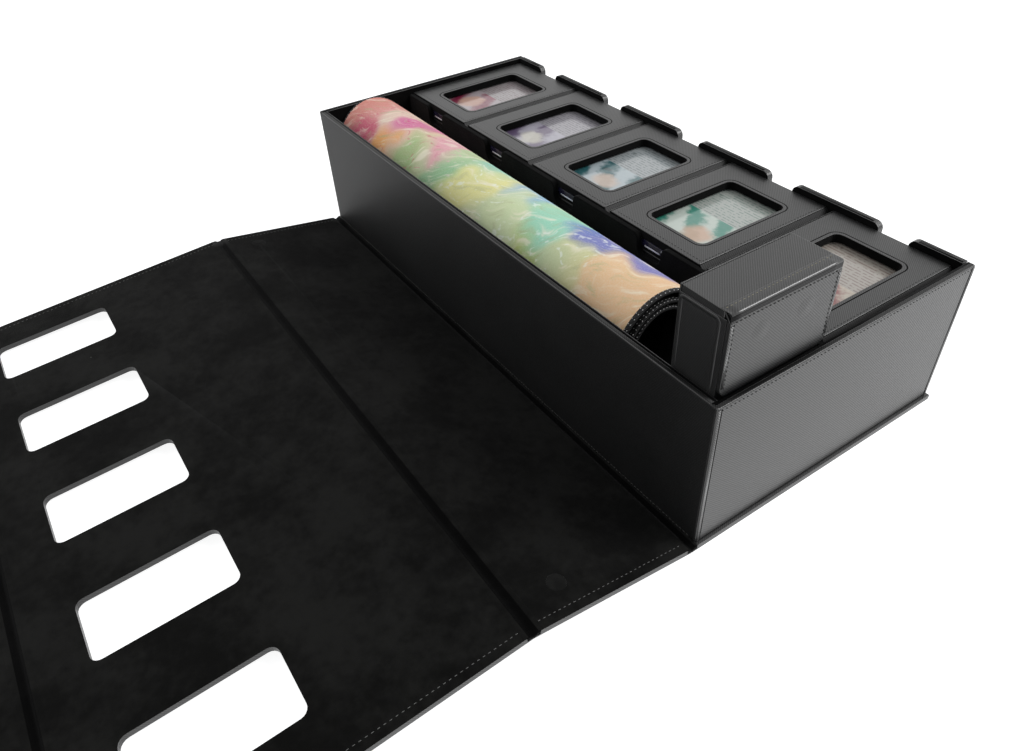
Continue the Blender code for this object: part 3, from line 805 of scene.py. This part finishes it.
def blob(made, u, v, centre, radii, tilt, soft):
    """1 inside a soft-edged ellipse of the print and 0 outside; sizes in millimetres."""
    du = made.math("SUBTRACT", u, centre[0])
    dv = made.math("SUBTRACT", v, centre[1])
    turn = math.radians(tilt)
    cos, sin = math.cos(turn), math.sin(turn)
    p = made.sum(made.product(du, cos / radii[0]), made.product(dv, sin / radii[0]))
    q = made.sum(made.product(dv, cos / radii[1]), made.product(du, -sin / radii[1]))
    reach = made.math("SQRT", made.sum(made.product(p, p), made.product(q, q)))
    return made.between(reach, 1.0 + soft, 1.0 - soft)


# The print's ground colours, from one end of the mat to the other, in millimetres.
PRINT_GROUND = (
    (0, (0.66, 0.22, 0.18)),
    (45, (0.74, 0.34, 0.32)),
    (85, (0.78, 0.56, 0.40)),
    (130, (0.50, 0.62, 0.36)),
    (185, (0.62, 0.66, 0.38)),
    (240, (0.42, 0.66, 0.44)),
    (300, (0.66, 0.64, 0.34)),
    (345, (0.80, 0.52, 0.30)),
)
# Its soft shapes: centre (round the roll, along it), radii, tilt, softness, colour.
PRINT_SHAPES = (
    ((168, 30), (34, 16), -25, 0.4, (0.62, 0.06, 0.16)),
    ((120, 50), (30, 13), 25, 0.4, (0.80, 0.62, 0.50)),
    ((154, 66), (15, 10), 10, 0.5, (0.92, 0.42, 0.10)),
    ((108, 82), (34, 12), -30, 0.4, (0.66, 0.10, 0.34)),
    ((162, 100), (36, 14), 18, 0.4, (0.34, 0.54, 0.22)),
    ((118, 118), (30, 14), 25, 0.4, (0.80, 0.34, 0.44)),
    ((160, 142), (40, 16), -18, 0.4, (0.26, 0.52, 0.28)),
    ((106, 166), (28, 14), 12, 0.4, (0.24, 0.62, 0.54)),
    ((140, 176), (36, 18), -28, 0.4, (0.78, 0.74, 0.30)),
    ((112, 214), (20, 22), 25, 0.35, (0.20, 0.42, 0.72)),
    ((146, 222), (36, 17), 32, 0.4, (0.64, 0.72, 0.42)),
    ((168, 252), (30, 16), 10, 0.4, (0.52, 0.60, 0.16)),
    ((122, 262), (32, 16), -30, 0.4, (0.30, 0.68, 0.52)),
    ((110, 302), (19, 40), 14, 0.22, (0.10, 0.12, 0.52)),
    ((146, 322), (30, 20), 28, 0.3, (0.84, 0.55, 0.32)),
)


def mat_cloth():
    """The printed face: soft shapes of colour with fine lines, on a fine even weave."""
    made = Recipe("mat_print", Specular_IOR_Level=0.2, Sheen_Weight=0.08, Sheen_Roughness=0.5)
    layer = made.add("UVMap", uv_map="Print")
    scaled = made.add("VectorMath", layer.outputs[0], (100.0, 100.0, 0.0), operation="MULTIPLY")
    drift = made.add("TexNoise")
    made.put(drift.inputs["Vector"], scaled.outputs[0])
    drift.inputs["Scale"].default_value = 0.035
    drift.inputs["Detail"].default_value = 1.0
    centred = made.add("VectorMath", drift.outputs["Color"], (0.5, 0.5, 0.5), operation="SUBTRACT")
    moved = made.add("VectorMath", centred.outputs[0], (34.0, 34.0, 0.0), operation="MULTIPLY")
    warped = made.add("VectorMath", scaled.outputs[0], moved.outputs[0], operation="ADD")
    u, v, _ = made.add("SeparateXYZ", warped.outputs[0]).outputs
    colour = PRINT_GROUND[0][1]
    for (start, _), (end, tone) in zip(PRINT_GROUND, PRINT_GROUND[1:]):
        colour = made.blend(made.between(v, start, end), colour, tone)
    for centre, radii, tilt, soft, tone in PRINT_SHAPES:
        inside = blob(made, u, v, centre, radii, tilt, soft)
        colour = made.blend(made.product(inside, 0.85), colour, tone)
    slant = made.sum(made.product(u, 0.045), made.product(v, 0.03))
    cross = made.sum(made.product(u, 0.008), made.product(v, -0.012))
    brushed = made.add("CombineXYZ", slant, cross, 0.0).outputs[0]
    strokes = made.noise(3.2, 3.0, 0.55, brushed)
    colour = made.blend(made.between(strokes, 0.52, 0.7, 0.0, 0.6), colour, (0.92, 0.86, 0.70))
    colour = made.blend(made.between(strokes, 0.46, 0.3, 0.0, 0.45), colour, (0.44, 0.46, 0.24))
    veins = made.math("ABSOLUTE", made.sum(made.noise(1.6, 1.0, 0.5, brushed), -0.52))
    places = made.between(made.noise(0.22, 1.0, 0.5, scaled.outputs[0]), 0.47, 0.6)
    vein = made.product(made.between(veins, 0.024, 0.006, 0.0, 0.5), places)
    ink = made.blend(made.between(v, 110, 170), (0.62, 0.03, 0.16), (0.90, 0.96, 0.92))
    colour = made.blend(made.product(vein, made.between(v, 330, 290)), colour, ink)
    wash = made.noise(0.9, 3.0, 0.6, scaled.outputs[0])
    colour = made.blend(made.between(wash, 0.35, 0.8, 0.0, 0.2), colour, (0.9, 0.9, 0.8))
    made.set("Base Color", colour)
    wave = math.tau / WEAVE_PITCH
    raw_u, raw_v, _ = made.add("SeparateXYZ", scaled.outputs[0]).outputs
    warp_threads = made.math("SINE", made.product(raw_u, wave))
    weft_threads = made.math("SINE", made.product(raw_v, wave))
    weave = made.product(warp_threads, weft_threads)
    made.set("Roughness", made.between(weave, -1.0, 1.0, 0.92, 0.7))
    made.bump(made.sum(weave, made.product(wash, 0.4)), 0.06 * MM)
    return made.material


def mat_rubber():
    """The mat's black underside, with a fine grain."""
    made = Recipe("mat_rubber", Specular_IOR_Level=0.3)
    near = made.cells(700).outputs["Distance"]
    made.set("Base Color", made.blend(near, (0.006, 0.006, 0.006), (0.012, 0.012, 0.013)))
    made.set("Roughness", made.between(near, 0.0, 0.8, 0.6, 0.85))
    made.bump(near, 0.08 * MM)
    return made.material


def binding_thread():
    """The overlock round the mat's edge: slanting turns of black thread."""
    made = Recipe("mat_binding", Specular_IOR_Level=0.35)
    layer = made.add("UVMap", uv_map="Print")
    u, v, _ = made.add("SeparateXYZ", layer.outputs[0]).outputs
    pace = math.tau * PRINT_UNIT / BINDING_PITCH
    turns = made.math("SINE", made.product(made.sum(u, made.product(v, 0.4)), pace))
    shade = made.between(turns, -1, 1)
    made.set("Base Color", made.blend(shade, (0.002, 0.002, 0.002), (0.011, 0.011, 0.012)))
    made.set("Roughness", made.between(turns, -1, 1, 0.85, 0.55))
    made.bump(turns, 0.15 * MM)
    return made.material


# The overlock's lower thread: its pitch, and the length and width of a loop.
LOOP_PITCH, LOOP_LENGTH, LOOP_WIDTH = 1.5 * MM, 0.85 * MM, 0.55 * MM
# Its rows: which end of the mat, the way in from it, and in millimetres how far in and how high.
LOOP_ROWS = ((1, -1, 0.8, 0.9), (1, -1, 2.5, 0.95), (0, 1, 2.5, 0.9))


def mat_dots(line_points, sides):
    """Bright loops of the overlock's lower thread, in rows near both bound edges."""
    parts = []
    for end, inward, inset, half in LOOP_ROWS:
        x = BOX["rolled_mat"][end].x + inward * inset * MM
        carried = 0.0
        for start, finish, side in zip(line_points, line_points[1:], sides):
            carried += (finish - start).length
            if carried < LOOP_PITCH:
                continue
            carried -= LOOP_PITCH
            along = (finish - start).normalized()
            centre = Vector((x, finish.y, finish.z)) + side * half * MM
            parts.append(stitch(centre, along, side, LOOP_LENGTH, LOOP_WIDTH))
    points, faces = joined(parts)
    return piece("mat_overlock_dots", points, faces, [MAT_THREAD], "mat")


# Light, floor and camera


WORLD_LEVEL = 0.5
FLOOR_GLOW = 0.88
FLOOR_HALF = 4.0
FLOOR_DROP = 0.4 * MM
WHITE = (1.0, 1.0, 1.0, 1.0)
SKY = (0.96, 0.98, 1.0, 1.0)
PLAIN_FLOOR = (0.8, 0.8, 0.8, 1.0)
SEEN_FLOOR = (0.5, 0.5, 0.5, 1.0)
# Each lamp's place, target, size and power.
LAMPS = {
    "key": ((0.9, 1.0, 1.3), (0.0, -0.05, 0.05), 1.0, 22.0),
    "fill": ((-0.5, -1.2, 1.4), (0.0, -0.1, 0.05), 1.2, 6.0),
}


def shader(tree, kind, **values):
    node = tree.nodes.new("ShaderNode" + kind)
    for key, value in values.items():
        node.inputs[key].default_value = value
    return node


def shown_plainly(tree, plain, shown):
    """Mixes to `shown` for what the camera, a mirror or glass sees, and `plain` otherwise."""
    path = shader(tree, "LightPath")
    total = path.outputs["Is Camera Ray"]
    for name in ("Is Glossy Ray", "Is Transmission Ray"):
        most = shader(tree, "Math")
        most.operation = "MAXIMUM"
        tree.links.new(total, most.inputs[0])
        tree.links.new(path.outputs[name], most.inputs[1])
        total = most.outputs[0]
    mix = shader(tree, "MixShader")
    for socket, source in zip(mix.inputs, (total, plain.outputs[0], shown.outputs[0])):
        tree.links.new(source, socket)
    return mix.outputs[0]


def add_world():
    """Even light all round, which the camera sees as white."""
    world = bpy.data.worlds.new("Studio")
    bpy.context.scene.world = world
    world.use_nodes = True
    tree = world.node_tree
    tree.nodes.clear()
    light = shader(tree, "Background", Strength=WORLD_LEVEL, Color=SKY)
    seen = shader(tree, "Background", Strength=1.0, Color=WHITE)
    result = shader(tree, "OutputWorld")
    tree.links.new(shown_plainly(tree, light, seen), result.inputs["Surface"])


def add_floor():
    """A pale floor that takes soft shadows, and glows up to white where the camera sees it."""
    mesh = bpy.data.meshes.new("floor")
    corners = [(x, y, -FLOOR_DROP) for x, y in rectangle((-FLOOR_HALF,) * 2, (FLOOR_HALF,) * 2)]
    mesh.from_pydata(corners, [], [(0, 1, 2, 3)])
    floor = bpy.data.objects.new("floor", mesh)
    bpy.context.scene.collection.objects.link(floor)
    material = bpy.data.materials.new("floor")
    material.use_nodes = True
    mesh.materials.append(material)
    tree = material.node_tree
    tree.nodes.clear()
    plain = shader(tree, "BsdfDiffuse", Color=PLAIN_FLOOR)
    soft = shader(tree, "BsdfDiffuse", Color=SEEN_FLOOR)
    glow = shader(tree, "Emission", Strength=FLOOR_GLOW)
    both = shader(tree, "AddShader")
    tree.links.new(soft.outputs[0], both.inputs[0])
    tree.links.new(glow.outputs[0], both.inputs[1])
    result = shader(tree, "OutputMaterial")
    tree.links.new(shown_plainly(tree, plain, both), result.inputs["Surface"])


def add_lamps():
    """Two large soft lamps, each turned to its target."""
    for name, (place, target, size, power) in LAMPS.items():
        data = bpy.data.lights.new(name, "AREA")
        data.shape = "DISK"
        data.size = size
        data.energy = power
        lamp = bpy.data.objects.new(name, data)
        bpy.context.scene.collection.objects.link(lamp)
        lamp.location = place
        aim = Vector(target) - Vector(place)
        lamp.rotation_euler = aim.to_track_quat("-Z", "Y").to_euler()


def add_camera():
    """The camera at the photograph's viewing angle."""
    data = bpy.data.cameras.new("Camera")
    data.sensor_width = SENSOR_WIDTH
    data.lens = FOCAL_PIXELS * SENSOR_WIDTH / IMAGE_WIDTH
    data.clip_start = 0.01
    camera = bpy.data.objects.new("Camera", data)
    bpy.context.scene.collection.objects.link(camera)
    right, down, ahead = Matrix.Rotation(VIEW_TURN.length, 3, VIEW_TURN)
    turn = Matrix((right, -down, -ahead)).transposed()
    camera.matrix_world = Matrix.Translation(EYE) @ turn.to_4x4()
    bpy.context.scene.camera = camera
    bpy.context.scene.view_settings.view_transform = "Standard"


# Seams, creases and bumps


# The closed cover has 0.3 mm of room over the walls, so the stitches on it lie partly in the cloth.
SUNK = 0.17 * MM
COVER_SEAM_INSET = 5.0 * MM
FOLD_SEAM_INSET = 4.6 * MM


def cover_seams():
    """Pale stitching along the panels' ends, and along the rear panel's free edge."""
    high_x = BOX["cover_front_panel"][1].x - COVER_SEAM_INSET
    for key, plane in PANELS.items():
        far = REACH[key] - (COVER_SEAM_INSET if key == "rear" else FOLD_SEAM_INSET)
        ends = [((x, FOLD_SEAM_INSET), (x, far)) for x in (-high_x, high_x)]
        if key == "rear":
            ends.append(((-high_x, far), (high_x, far)))
        runs = [([plane.at(*a, -SUNK), plane.at(*b, -SUNK)], plane.off) for a, b in ends]
        seam(f"cover_{key}_seam", f"cover_{key}", runs, PALE_THREAD, COVER_STITCH)


# How far each point of a fold's lining is from the fold, and how high over the board.
FOLD_SECTION = ((6.2, -0.1), (5.2, 0.05), (3.8, 0.1), (2.6, 0.02), (1.8, -0.4), (1.0, -1.1))
FOOT_SECTION = ((3.62, -0.3), (3.58, 0.12), (3.1, 0.1), (2.5, -0.1), (1.7, -0.6), (0.9, -1.1))


CREASE_COLUMNS = 45
CREASE_INSET = 0.3 * MM
# How far its middle row dips below the section's last point, and how high over the table it ends.
CREASE_DIP = 0.25 * MM
TABLE_ROOM = 0.2 * MM
# The lining's thickness over the boards, and in the groove, which it fills.
THIN_LINING = 0.35 * MM
FULL_LINING = 2.5 * MM
SHADED_GROOVE_SPANS = 2.6


def crease(name, first, second, reach, profile=FOLD_SECTION):
    """The lining over a fold: it dips into the groove between two boards, and its rows down in the groove
    are near-black suede as painted shade.
    """
    half_x = BOX["cover_front_panel"][1].x - CREASE_INSET
    depth = profile[-1][1] * MM - CREASE_DIP
    rows = [first.at(0, reach - d * MM, h * MM) for d, h in profile]
    rows.append((first.at(0, reach, depth) + second.at(0, 0, depth)) / 2)
    rows += [second.at(0, d * MM, h * MM) for d, h in reversed(FOLD_SECTION)]
    top, under = [], []
    for index, row in enumerate(rows):
        down = FULL_LINING if 1 < index < len(rows) - 2 else THIN_LINING
        for number in range(CREASE_COLUMNS):
            x = -half_x + 2 * half_x * number / (CREASE_COLUMNS - 1)
            top.append(row + Vector((x, 0, 0)))
            under.append(Vector((x, row.y, max(row.z - down, TABLE_ROOM))))
    faces = shell_faces(len(rows), CREASE_COLUMNS)
    spans = len(rows) - 1
    # The rows down in the groove take the near-black suede: painted shade.
    shaded_rows = [int(abs(row - (spans - 1) / 2) < SHADED_GROOVE_SPANS) for row in range(spans)]
    looks = sheet_looks(faces, CREASE_COLUMNS, shaded_rows, shaded_rows, 1)
    made = piece(name, top + under, faces, [SUEDE, GROOVE_SHADE], None, looks)
    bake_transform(made)


def build_creases():
    """The linings over the cover's three folds, each between two bodies."""
    foot = Plane(FOLD["front_fold"] + UP * BOARD, RIGHT, FORWARD, UP)
    front, top, rear = PANELS.values()
    crease("foot_crease", foot, front, 0, FOOT_SECTION)
    crease("ridge_crease", front, top, REACH["front"])
    crease("rear_crease", top, rear, REACH["top"])


# How far a closure magnet's bump lies off the magnet's middle, before the front wall's leather.
BUMP_LIFT = 0.75 * MM
WRAP_THICKNESS = 0.12 * MM
BUMP_RADIUS = 7.0 * MM
LOW_BUMP = 0.08 * MM
HIGH_BUMP = 0.14 * MM
FLAP_BUMP_RADIUS = 6.5 * MM
FLAP_BUMP = 0.25 * MM


def closure_bumps():
    """The rounds of the cover's magnets, which stand in for the discs under the covering; those on the front
    wall and on the cover panels are drawn in lighter copies of their material as painted highlight.
    """
    wrapped = BUMP_LIFT + WRAP_THICKNESS
    kinds = (
        ("front_wall", FORWARD, wrapped, LOW_BUMP, LIT_FRONT, "tray"),
        ("rear_wall", -FORWARD, BUMP_LIFT, HIGH_BUMP, LEATHER, "tray"),
        ("front_panel", PANELS["front"].off, BUMP_LIFT, LOW_BUMP, LIT_SUEDE, "cover_front"),
        ("rear_panel", PANELS["rear"].off, BUMP_LIFT, HIGH_BUMP, LIT_SUEDE, "cover_rear"),
    )
    for side in ("left", "right"):
        for key, off, lift, rise, material, body in kinds:
            node = f"{key}_magnet_{side}"
            centre = centre_of(node) + off * lift
            dome(node + "_bump", centre, off, BUMP_RADIUS, rise, material, body, node)


DECK_SEAM_INSET = 1.6 * MM
DECK_SEAM_END = 3.0 * MM


def deck_seams():
    """Dark stitching beside each lid's fold and along its front edge."""
    for number in range(1, DECKS + 1):
        low, high = BOX[f"deck_box_{number}_lid_frame"]
        left, right = low.x + DECK_SEAM_END, high.x - DECK_SEAM_INSET
        front, rear = low.y + DECK_SEAM_END, high.y - DECK_SEAM_END
        runs = [(line((right, front, high.z), (right, rear, high.z)), UP)]
        runs.append((line((left, front, high.z), (right, front, high.z)), UP))
        seam(f"deck_box_{number}_seam", f"deck_box_{number}_lid", runs, DARK_THREAD, DECK_STITCH)


LID_SEAM_INSET = 1.5 * MM
FLAP_SEAM_INSET = 2.4 * MM
FLAP_SEAM_DROP = 5.0 * MM
FLAP_SEAM_FOOT = 4.0 * MM
FLAP_SUNK = 0.03 * MM


def accessory_seams():
    """Gold stitching on the accessory box's lid, dark stitching and two bumps on its flap."""
    low, high = BOX["accessory_box_lid"]
    x, top = high.x - LID_SEAM_INSET, high.z - FLAP_SEAM_DROP
    run = line((x, low.y + LID_SEAM_INSET, high.z), (x, high.y - LID_SEAM_INSET, high.z))
    seam("accessory_lid_seam", "accessory_lid", [(run, UP)], GOLD_THREAD, LID_STITCH)
    low, high = BOX["accessory_box_flap"]
    near, far, foot = low.y + FLAP_SEAM_INSET, high.y - FLAP_SEAM_INSET, low.z + FLAP_SEAM_FOOT
    corners = ((near, foot), (near, top), (far, top), (far, foot))
    path = [Vector((high.x - FLAP_SUNK, y, z)) for y, z in corners]
    seam("accessory_flap_seam", "accessory_flap", [(path, RIGHT)], DARK_THREAD, FLAP_STITCH)
    for side in ("front", "rear"):
        centre = centre_of(f"accessory_flap_magnet_{side}")
        centre.x = high.x
        name = f"accessory_flap_bump_{side}"
        dome(name, centre, RIGHT, FLAP_BUMP_RADIUS, FLAP_BUMP, LEATHER, "accessory_flap")


# The leather over the accessory lid's fold: distance out from the lid's edge, drop below its top,
# and which of the three materials the strip below the point has.
OVER_FOLD = (
    (-3.4, 0.05, 0), (-2.6, -0.1, 0), (0.6, -0.14, 0), (2.5, -0.14, 0), (3.3, -0.02, 1),
    (3.75, 0.3, 1), (4.0, 0.8, 2), (4.06, 1.5, 2), (4.06, 2.4, 2), (3.94, 3.2, 2),
    (4.02, 3.6, 0), (4.06, 4.4, 0), (4.04, 5.6, 0), (3.8, 6.8, 0),
)
# The flap's slanting band: its run and its drop, and how far its leather lies below the lid's top.
FLAP_SLANT = (3.6 * MM, 5.2 * MM)
SLANT_DROP = 0.2 * MM
LEVEL_ROWS = 3
FOLD_COLUMNS = 13
FOLD_INSET = 0.3 * MM
FOLD_LEATHER = 0.4 * MM
FOLD_FOOT = 0.3 * MM


def accessory_fold():
    """Leather that runs over the lid's edge and down onto the flap, with a glossy bend."""
    low, high = BOX["accessory_box_lid"]
    edge = Vector((high.x, 0, high.z))
    rows = [edge + Vector((d * MM, 0, -h * MM)) for d, h, _ in OVER_FOLD]
    count = len(rows)
    inner = [row - UP * FOLD_LEATHER for row in rows[: LEVEL_ROWS + 1]]
    for index in range(LEVEL_ROWS + 1, count - 1):
        share = (index - LEVEL_ROWS) / (count - 2 - LEVEL_ROWS)
        run, drop = (share * value for value in FLAP_SLANT)
        inner.append(edge + Vector((run, 0, -SLANT_DROP - drop)))
    inner.append(rows[-1] - RIGHT * FOLD_FOOT)
    points = []
    for row in rows + inner:
        for number in range(FOLD_COLUMNS):
            share = number / (FOLD_COLUMNS - 1)
            y = low.y + FOLD_INSET + (high.y - low.y - 2 * FOLD_INSET) * share
            points.append(row + Vector((0, y, 0)))
    faces = shell_faces(count, FOLD_COLUMNS)
    tops = [look for _, _, look in OVER_FOLD[:-1]]
    looks = sheet_looks(faces, FOLD_COLUMNS, tops, [], 2)
    made = piece("accessory_fold", points, faces, [LEATHER, GLOSSY, BAND], None, looks)
    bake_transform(made)


# The front wall's leather in millimetres: out of the wall's face and up from its rim, from the
# inside outwards, then up from its foot, and last the turned-in edge at the rim again.
WRAP_RIM = ((-0.8, -1.0), (-0.8, 0.05), (-0.35, -0.05), (0.0, -0.4), (0.1, -1.0), (0.12, -1.6), (0.12, -2.4))
WRAP_FOOT = ((0.12, 2.0), (0.12, 1.2), (0.1, 0.6), (-0.3, 0.5))
WRAP_TURNED = (-0.3, -1.4)
# Its ends: how far in from the end walls' faces its first places along the wall lie.
WRAP_ENDS = (1.3 * MM, 1.6 * MM, 2.2 * MM)
WRAP_PLACES = 30


def front_wrap():
    """The front wall's leather: one skin to both corners, turned in at the rim."""
    low, high = BOX["front_wall"]
    foot = (low.z - high.z) / MM
    section = [*WRAP_RIM, *((s, foot + h) for s, h in WRAP_FOOT), WRAP_TURNED]
    left = [BOX["left_end_wall"][0].x + inset for inset in WRAP_ENDS]
    right = [BOX["right_end_wall"][1].x - inset for inset in WRAP_ENDS]
    path = line((left[-1], low.y, high.z), (right[-1], low.y, high.z), WRAP_PLACES)
    path = [Vector((x, low.y, high.z)) for x in left[:-1]] + path
    path += [Vector((x, low.y, high.z)) for x in right[-2::-1]]
    points, faces = sweep(path, UP, [(s * MM, h * MM) for s, h in section])
    piece("front_wrap", points, faces, [FRONT], "tray")


END_SEAM_INSET = 2.0 * MM
END_SEAM_DROP = 2.2 * MM
FOOT_SEAM_RISE = 0.7 * MM


def wall_seams():
    """Stitching below the end walls' rims and along the front wall's foot."""
    runs = []
    for node, side in END_WALLS:
        low, high = BOX[node]
        x, z = (low.x if side < 0 else high.x), high.z - END_SEAM_DROP
        ends = ((x, low.y + END_SEAM_INSET, z), (x, high.y - END_SEAM_INSET, z))
        runs.append((line(*ends), RIGHT * side))
    seam("end_wall_seams", "tray", runs, DARK_THREAD, WALL_STITCH)
    low, high = BOX["front_wall"]
    z = low.z + FOOT_SEAM_RISE
    path = line((low.x, low.y, z), (high.x, low.y, z))
    seam("front_wall_foot_seam", "tray", [(path, FORWARD)], DIM_THREAD, FOOT_STITCH)


# Strips on the rim and the corners: distance in from the wall's outer face, width and height.
RIM_FOLD = (1.5 * MM, 2.0 * MM, 0.14 * MM)
RIM_LIP = (3.4 * MM, 1.5 * MM, 0.12 * MM)
RIM_END = 1.2 * MM
CORNER_ROLL = (1.3 * MM, 1.8 * MM, 0.35 * MM)
# The dark line beside each corner roll is painted shade.
CORNER_SHADE_LINE = (2.8 * MM, 0.7 * MM, 0.03 * MM)
CORNER_FOOT = 0.6 * MM
NOTCH_HALF = 10.25 * MM
NOTCH_ROUND = 5.2 * MM
REAR_END = 0.6 * MM


def rim_beads():
    """The turned edge along the top of each wall: a ribbed fold outside, the lining's lip inside."""
    kinds = (("rim_fold", RIM_FOLD, TRIM), ("rim_lip", RIM_LIP, LINING))
    for name, (inset, width, height), material in kinds:
        low, high = BOX["front_wall"]
        rim, y = high.z, low.y + inset
        paths = [line((low.x, y, rim), (high.x, y, rim))]
        y = BOX["rear_wall"][1].y - inset
        paths += [line((a, y, rim), (b, y, rim)) for a, b in rear_spans()]
        for node, side in END_WALLS:
            low, high = BOX[node]
            x = (low.x if side < 0 else high.x) - side * inset
            paths.append(line((x, low.y + RIM_END, rim), (x, high.y - RIM_END, rim)))
        bead(name, [(path, UP) for path in paths], width, height, material, "tray")


def rear_spans():
    """The stretches of the rear wall between its finger notches."""
    low, high = BOX["rear_wall"]
    edges = [low.x + REAR_END]
    for number in range(1, DECKS + 1):
        middle = centre_of(f"deck_box_{number}_display_card").x
        edges += [middle - NOTCH_HALF - NOTCH_ROUND, middle + NOTCH_HALF + NOTCH_ROUND]
    edges.append(high.x - REAR_END)
    return list(zip(edges[::2], edges[1::2]))


def corner_beads():
    """Rolled leather at the end walls' upright edges, in a lighter, glossier copy of the leatherette as
    painted highlight, with a near-black line of painted shade beside it.
    """
    kinds = (("corner_rolls", CORNER_ROLL, HIGHLIGHT_EDGE), ("corner_shade_lines", CORNER_SHADE_LINE, GROOVE_SHADE))
    for name, (inset, width, height), material in kinds:
        paths = []
        for node, side in END_WALLS:
            low, high = BOX[node]
            x = low.x if side < 0 else high.x
            for y in (low.y + inset, high.y - inset):
                path = line((x, y, low.z + CORNER_FOOT), (x, y, high.z - RIM_END))
                paths.append((path, RIGHT * side))
        bead(name, paths, width, height, material, "tray")


# The lid's window: half its width, and its distances from the lid's front and rear edges.
WINDOW_HALF = 23.5 * MM
WINDOW_FRONT = 15.8 * MM
WINDOW_REAR = 20.6 * MM
PRESSED_OUTSET = 2.6 * MM
PRESSED_RADIUS = 7.0 * MM
# The pressed line is a near-black strip: painted shade in its groove.
PRESSED_SHADE_LINE = (0.8 * MM, 0.02 * MM)
SLEEVE_HIGHLIGHT_STRIP = (1.1 * MM, 0.15 * MM)
# The painted highlight strips' ends on both sides of the card's middle, and their distance from the sleeve's
# edge.
LOWER_STRIP = (-8.5 * MM, 5.0 * MM, 0.45 * MM)
UPPER_STRIP = (6.2 * MM, 7.6 * MM, 1.6 * MM)


def deck_beads():
    """The pressed line round each window, as a near-black strip of painted shade, and pale strips of painted
    highlight on the sleeve's edge in each notch.
    """
    for number in range(1, DECKS + 1):
        low, high = BOX[f"deck_box_{number}_lid_frame"]
        body = f"deck_box_{number}_lid"
        middle = centre_of(f"deck_box_{number}_display_card").x
        half = WINDOW_HALF + PRESSED_OUTSET
        front = low.y + WINDOW_FRONT - PRESSED_OUTSET
        rear = high.y - WINDOW_REAR + PRESSED_OUTSET
        flat = Plane((0, 0, high.z), RIGHT, -FORWARD)
        corners = rectangle((middle - half, front), (middle + half, rear))
        ring = on(flat, rounded_path(corners, PRESSED_RADIUS, 6))
        bead(f"deck_box_{number}_pressed_shade_line", [(ring, UP)], *PRESSED_SHADE_LINE, GROOVE_SHADE, body, True)
        low, high = BOX[f"deck_box_{number}_card_sleeve"]
        strips = []
        for (start, end, edge), z in ((LOWER_STRIP, low.z), (UPPER_STRIP, high.z)):
            z += edge if z == low.z else -edge
            strips.append((line((middle + start, low.y, z), (middle + end, low.y, z)), FORWARD))
        bead(f"deck_box_{number}_sleeve_highlight_strip", strips, *SLEEVE_HIGHLIGHT_STRIP, HIGHLIGHT_PLASTIC, body)


FLAP_ROLL = (1.7 * MM, 0.25 * MM)
FLAP_ROLL_INSET = 1.1 * MM
FLAP_ROLL_FOOT = 5.5 * MM
FLAP_ROLL_TOP = 6.0 * MM
FRAME_STRIP = (2.2 * MM, 0.22 * MM)
FRAME_RADIUS = 2.2 * MM
# The frame's insets from a side's low and high corner.
FRAME_LOW = (1.5 * MM, 1.5 * MM)
FRAME_HIGH = (4.0 * MM, 5.6 * MM)


def accessory_beads():
    """Rolled edges on the accessory box's flap, in a lighter, glossier copy of the leatherette as painted
    highlight, and a raised frame on its two narrow sides.
    """
    low, high = BOX["accessory_box_flap"]
    foot, top = low.z + FLAP_ROLL_FOOT, high.z - FLAP_ROLL_TOP
    places = (low.y + FLAP_ROLL_INSET, high.y - FLAP_ROLL_INSET)
    rolls = [(line((high.x, y, foot), (high.x, y, top)), RIGHT) for y in places]
    bead("accessory_flap_rolls", rolls, *FLAP_ROLL, HIGHLIGHT_EDGE, "accessory_flap")
    low, high = BOX["accessory_box_body"]
    for name, y, off in (("front", low.y, FORWARD), ("rear", high.y, -FORWARD)):
        flat = Plane((0, y, 0), RIGHT, UP, off)
        near = (low.x + FRAME_LOW[0], low.z + FRAME_LOW[1])
        far = (high.x - FRAME_HIGH[0], high.z - FRAME_HIGH[1])
        corners = rectangle(near, far)
        if name == "rear":
            corners.reverse()
        ring = on(flat, rounded_path(corners, FRAME_RADIUS, 5))
        bead(f"accessory_{name}_frame", [(ring, off)], *FRAME_STRIP, LEATHER, "accessory_box", True)


dress_tray()
dress_cover()
dress_decks()
dress_accessory()
mat, mat_path, mat_sides = build_mat(mat_cloth(), mat_rubber(), binding_thread())
dots = mat_dots(mat_path, mat_sides)
cover_seams()
build_creases()
closure_bumps()
deck_seams()
accessory_seams()
wall_seams()
accessory_fold()
front_wrap()
rim_beads()
corner_beads()
deck_beads()
accessory_beads()
add_world()
add_floor()
add_lamps()
add_camera()
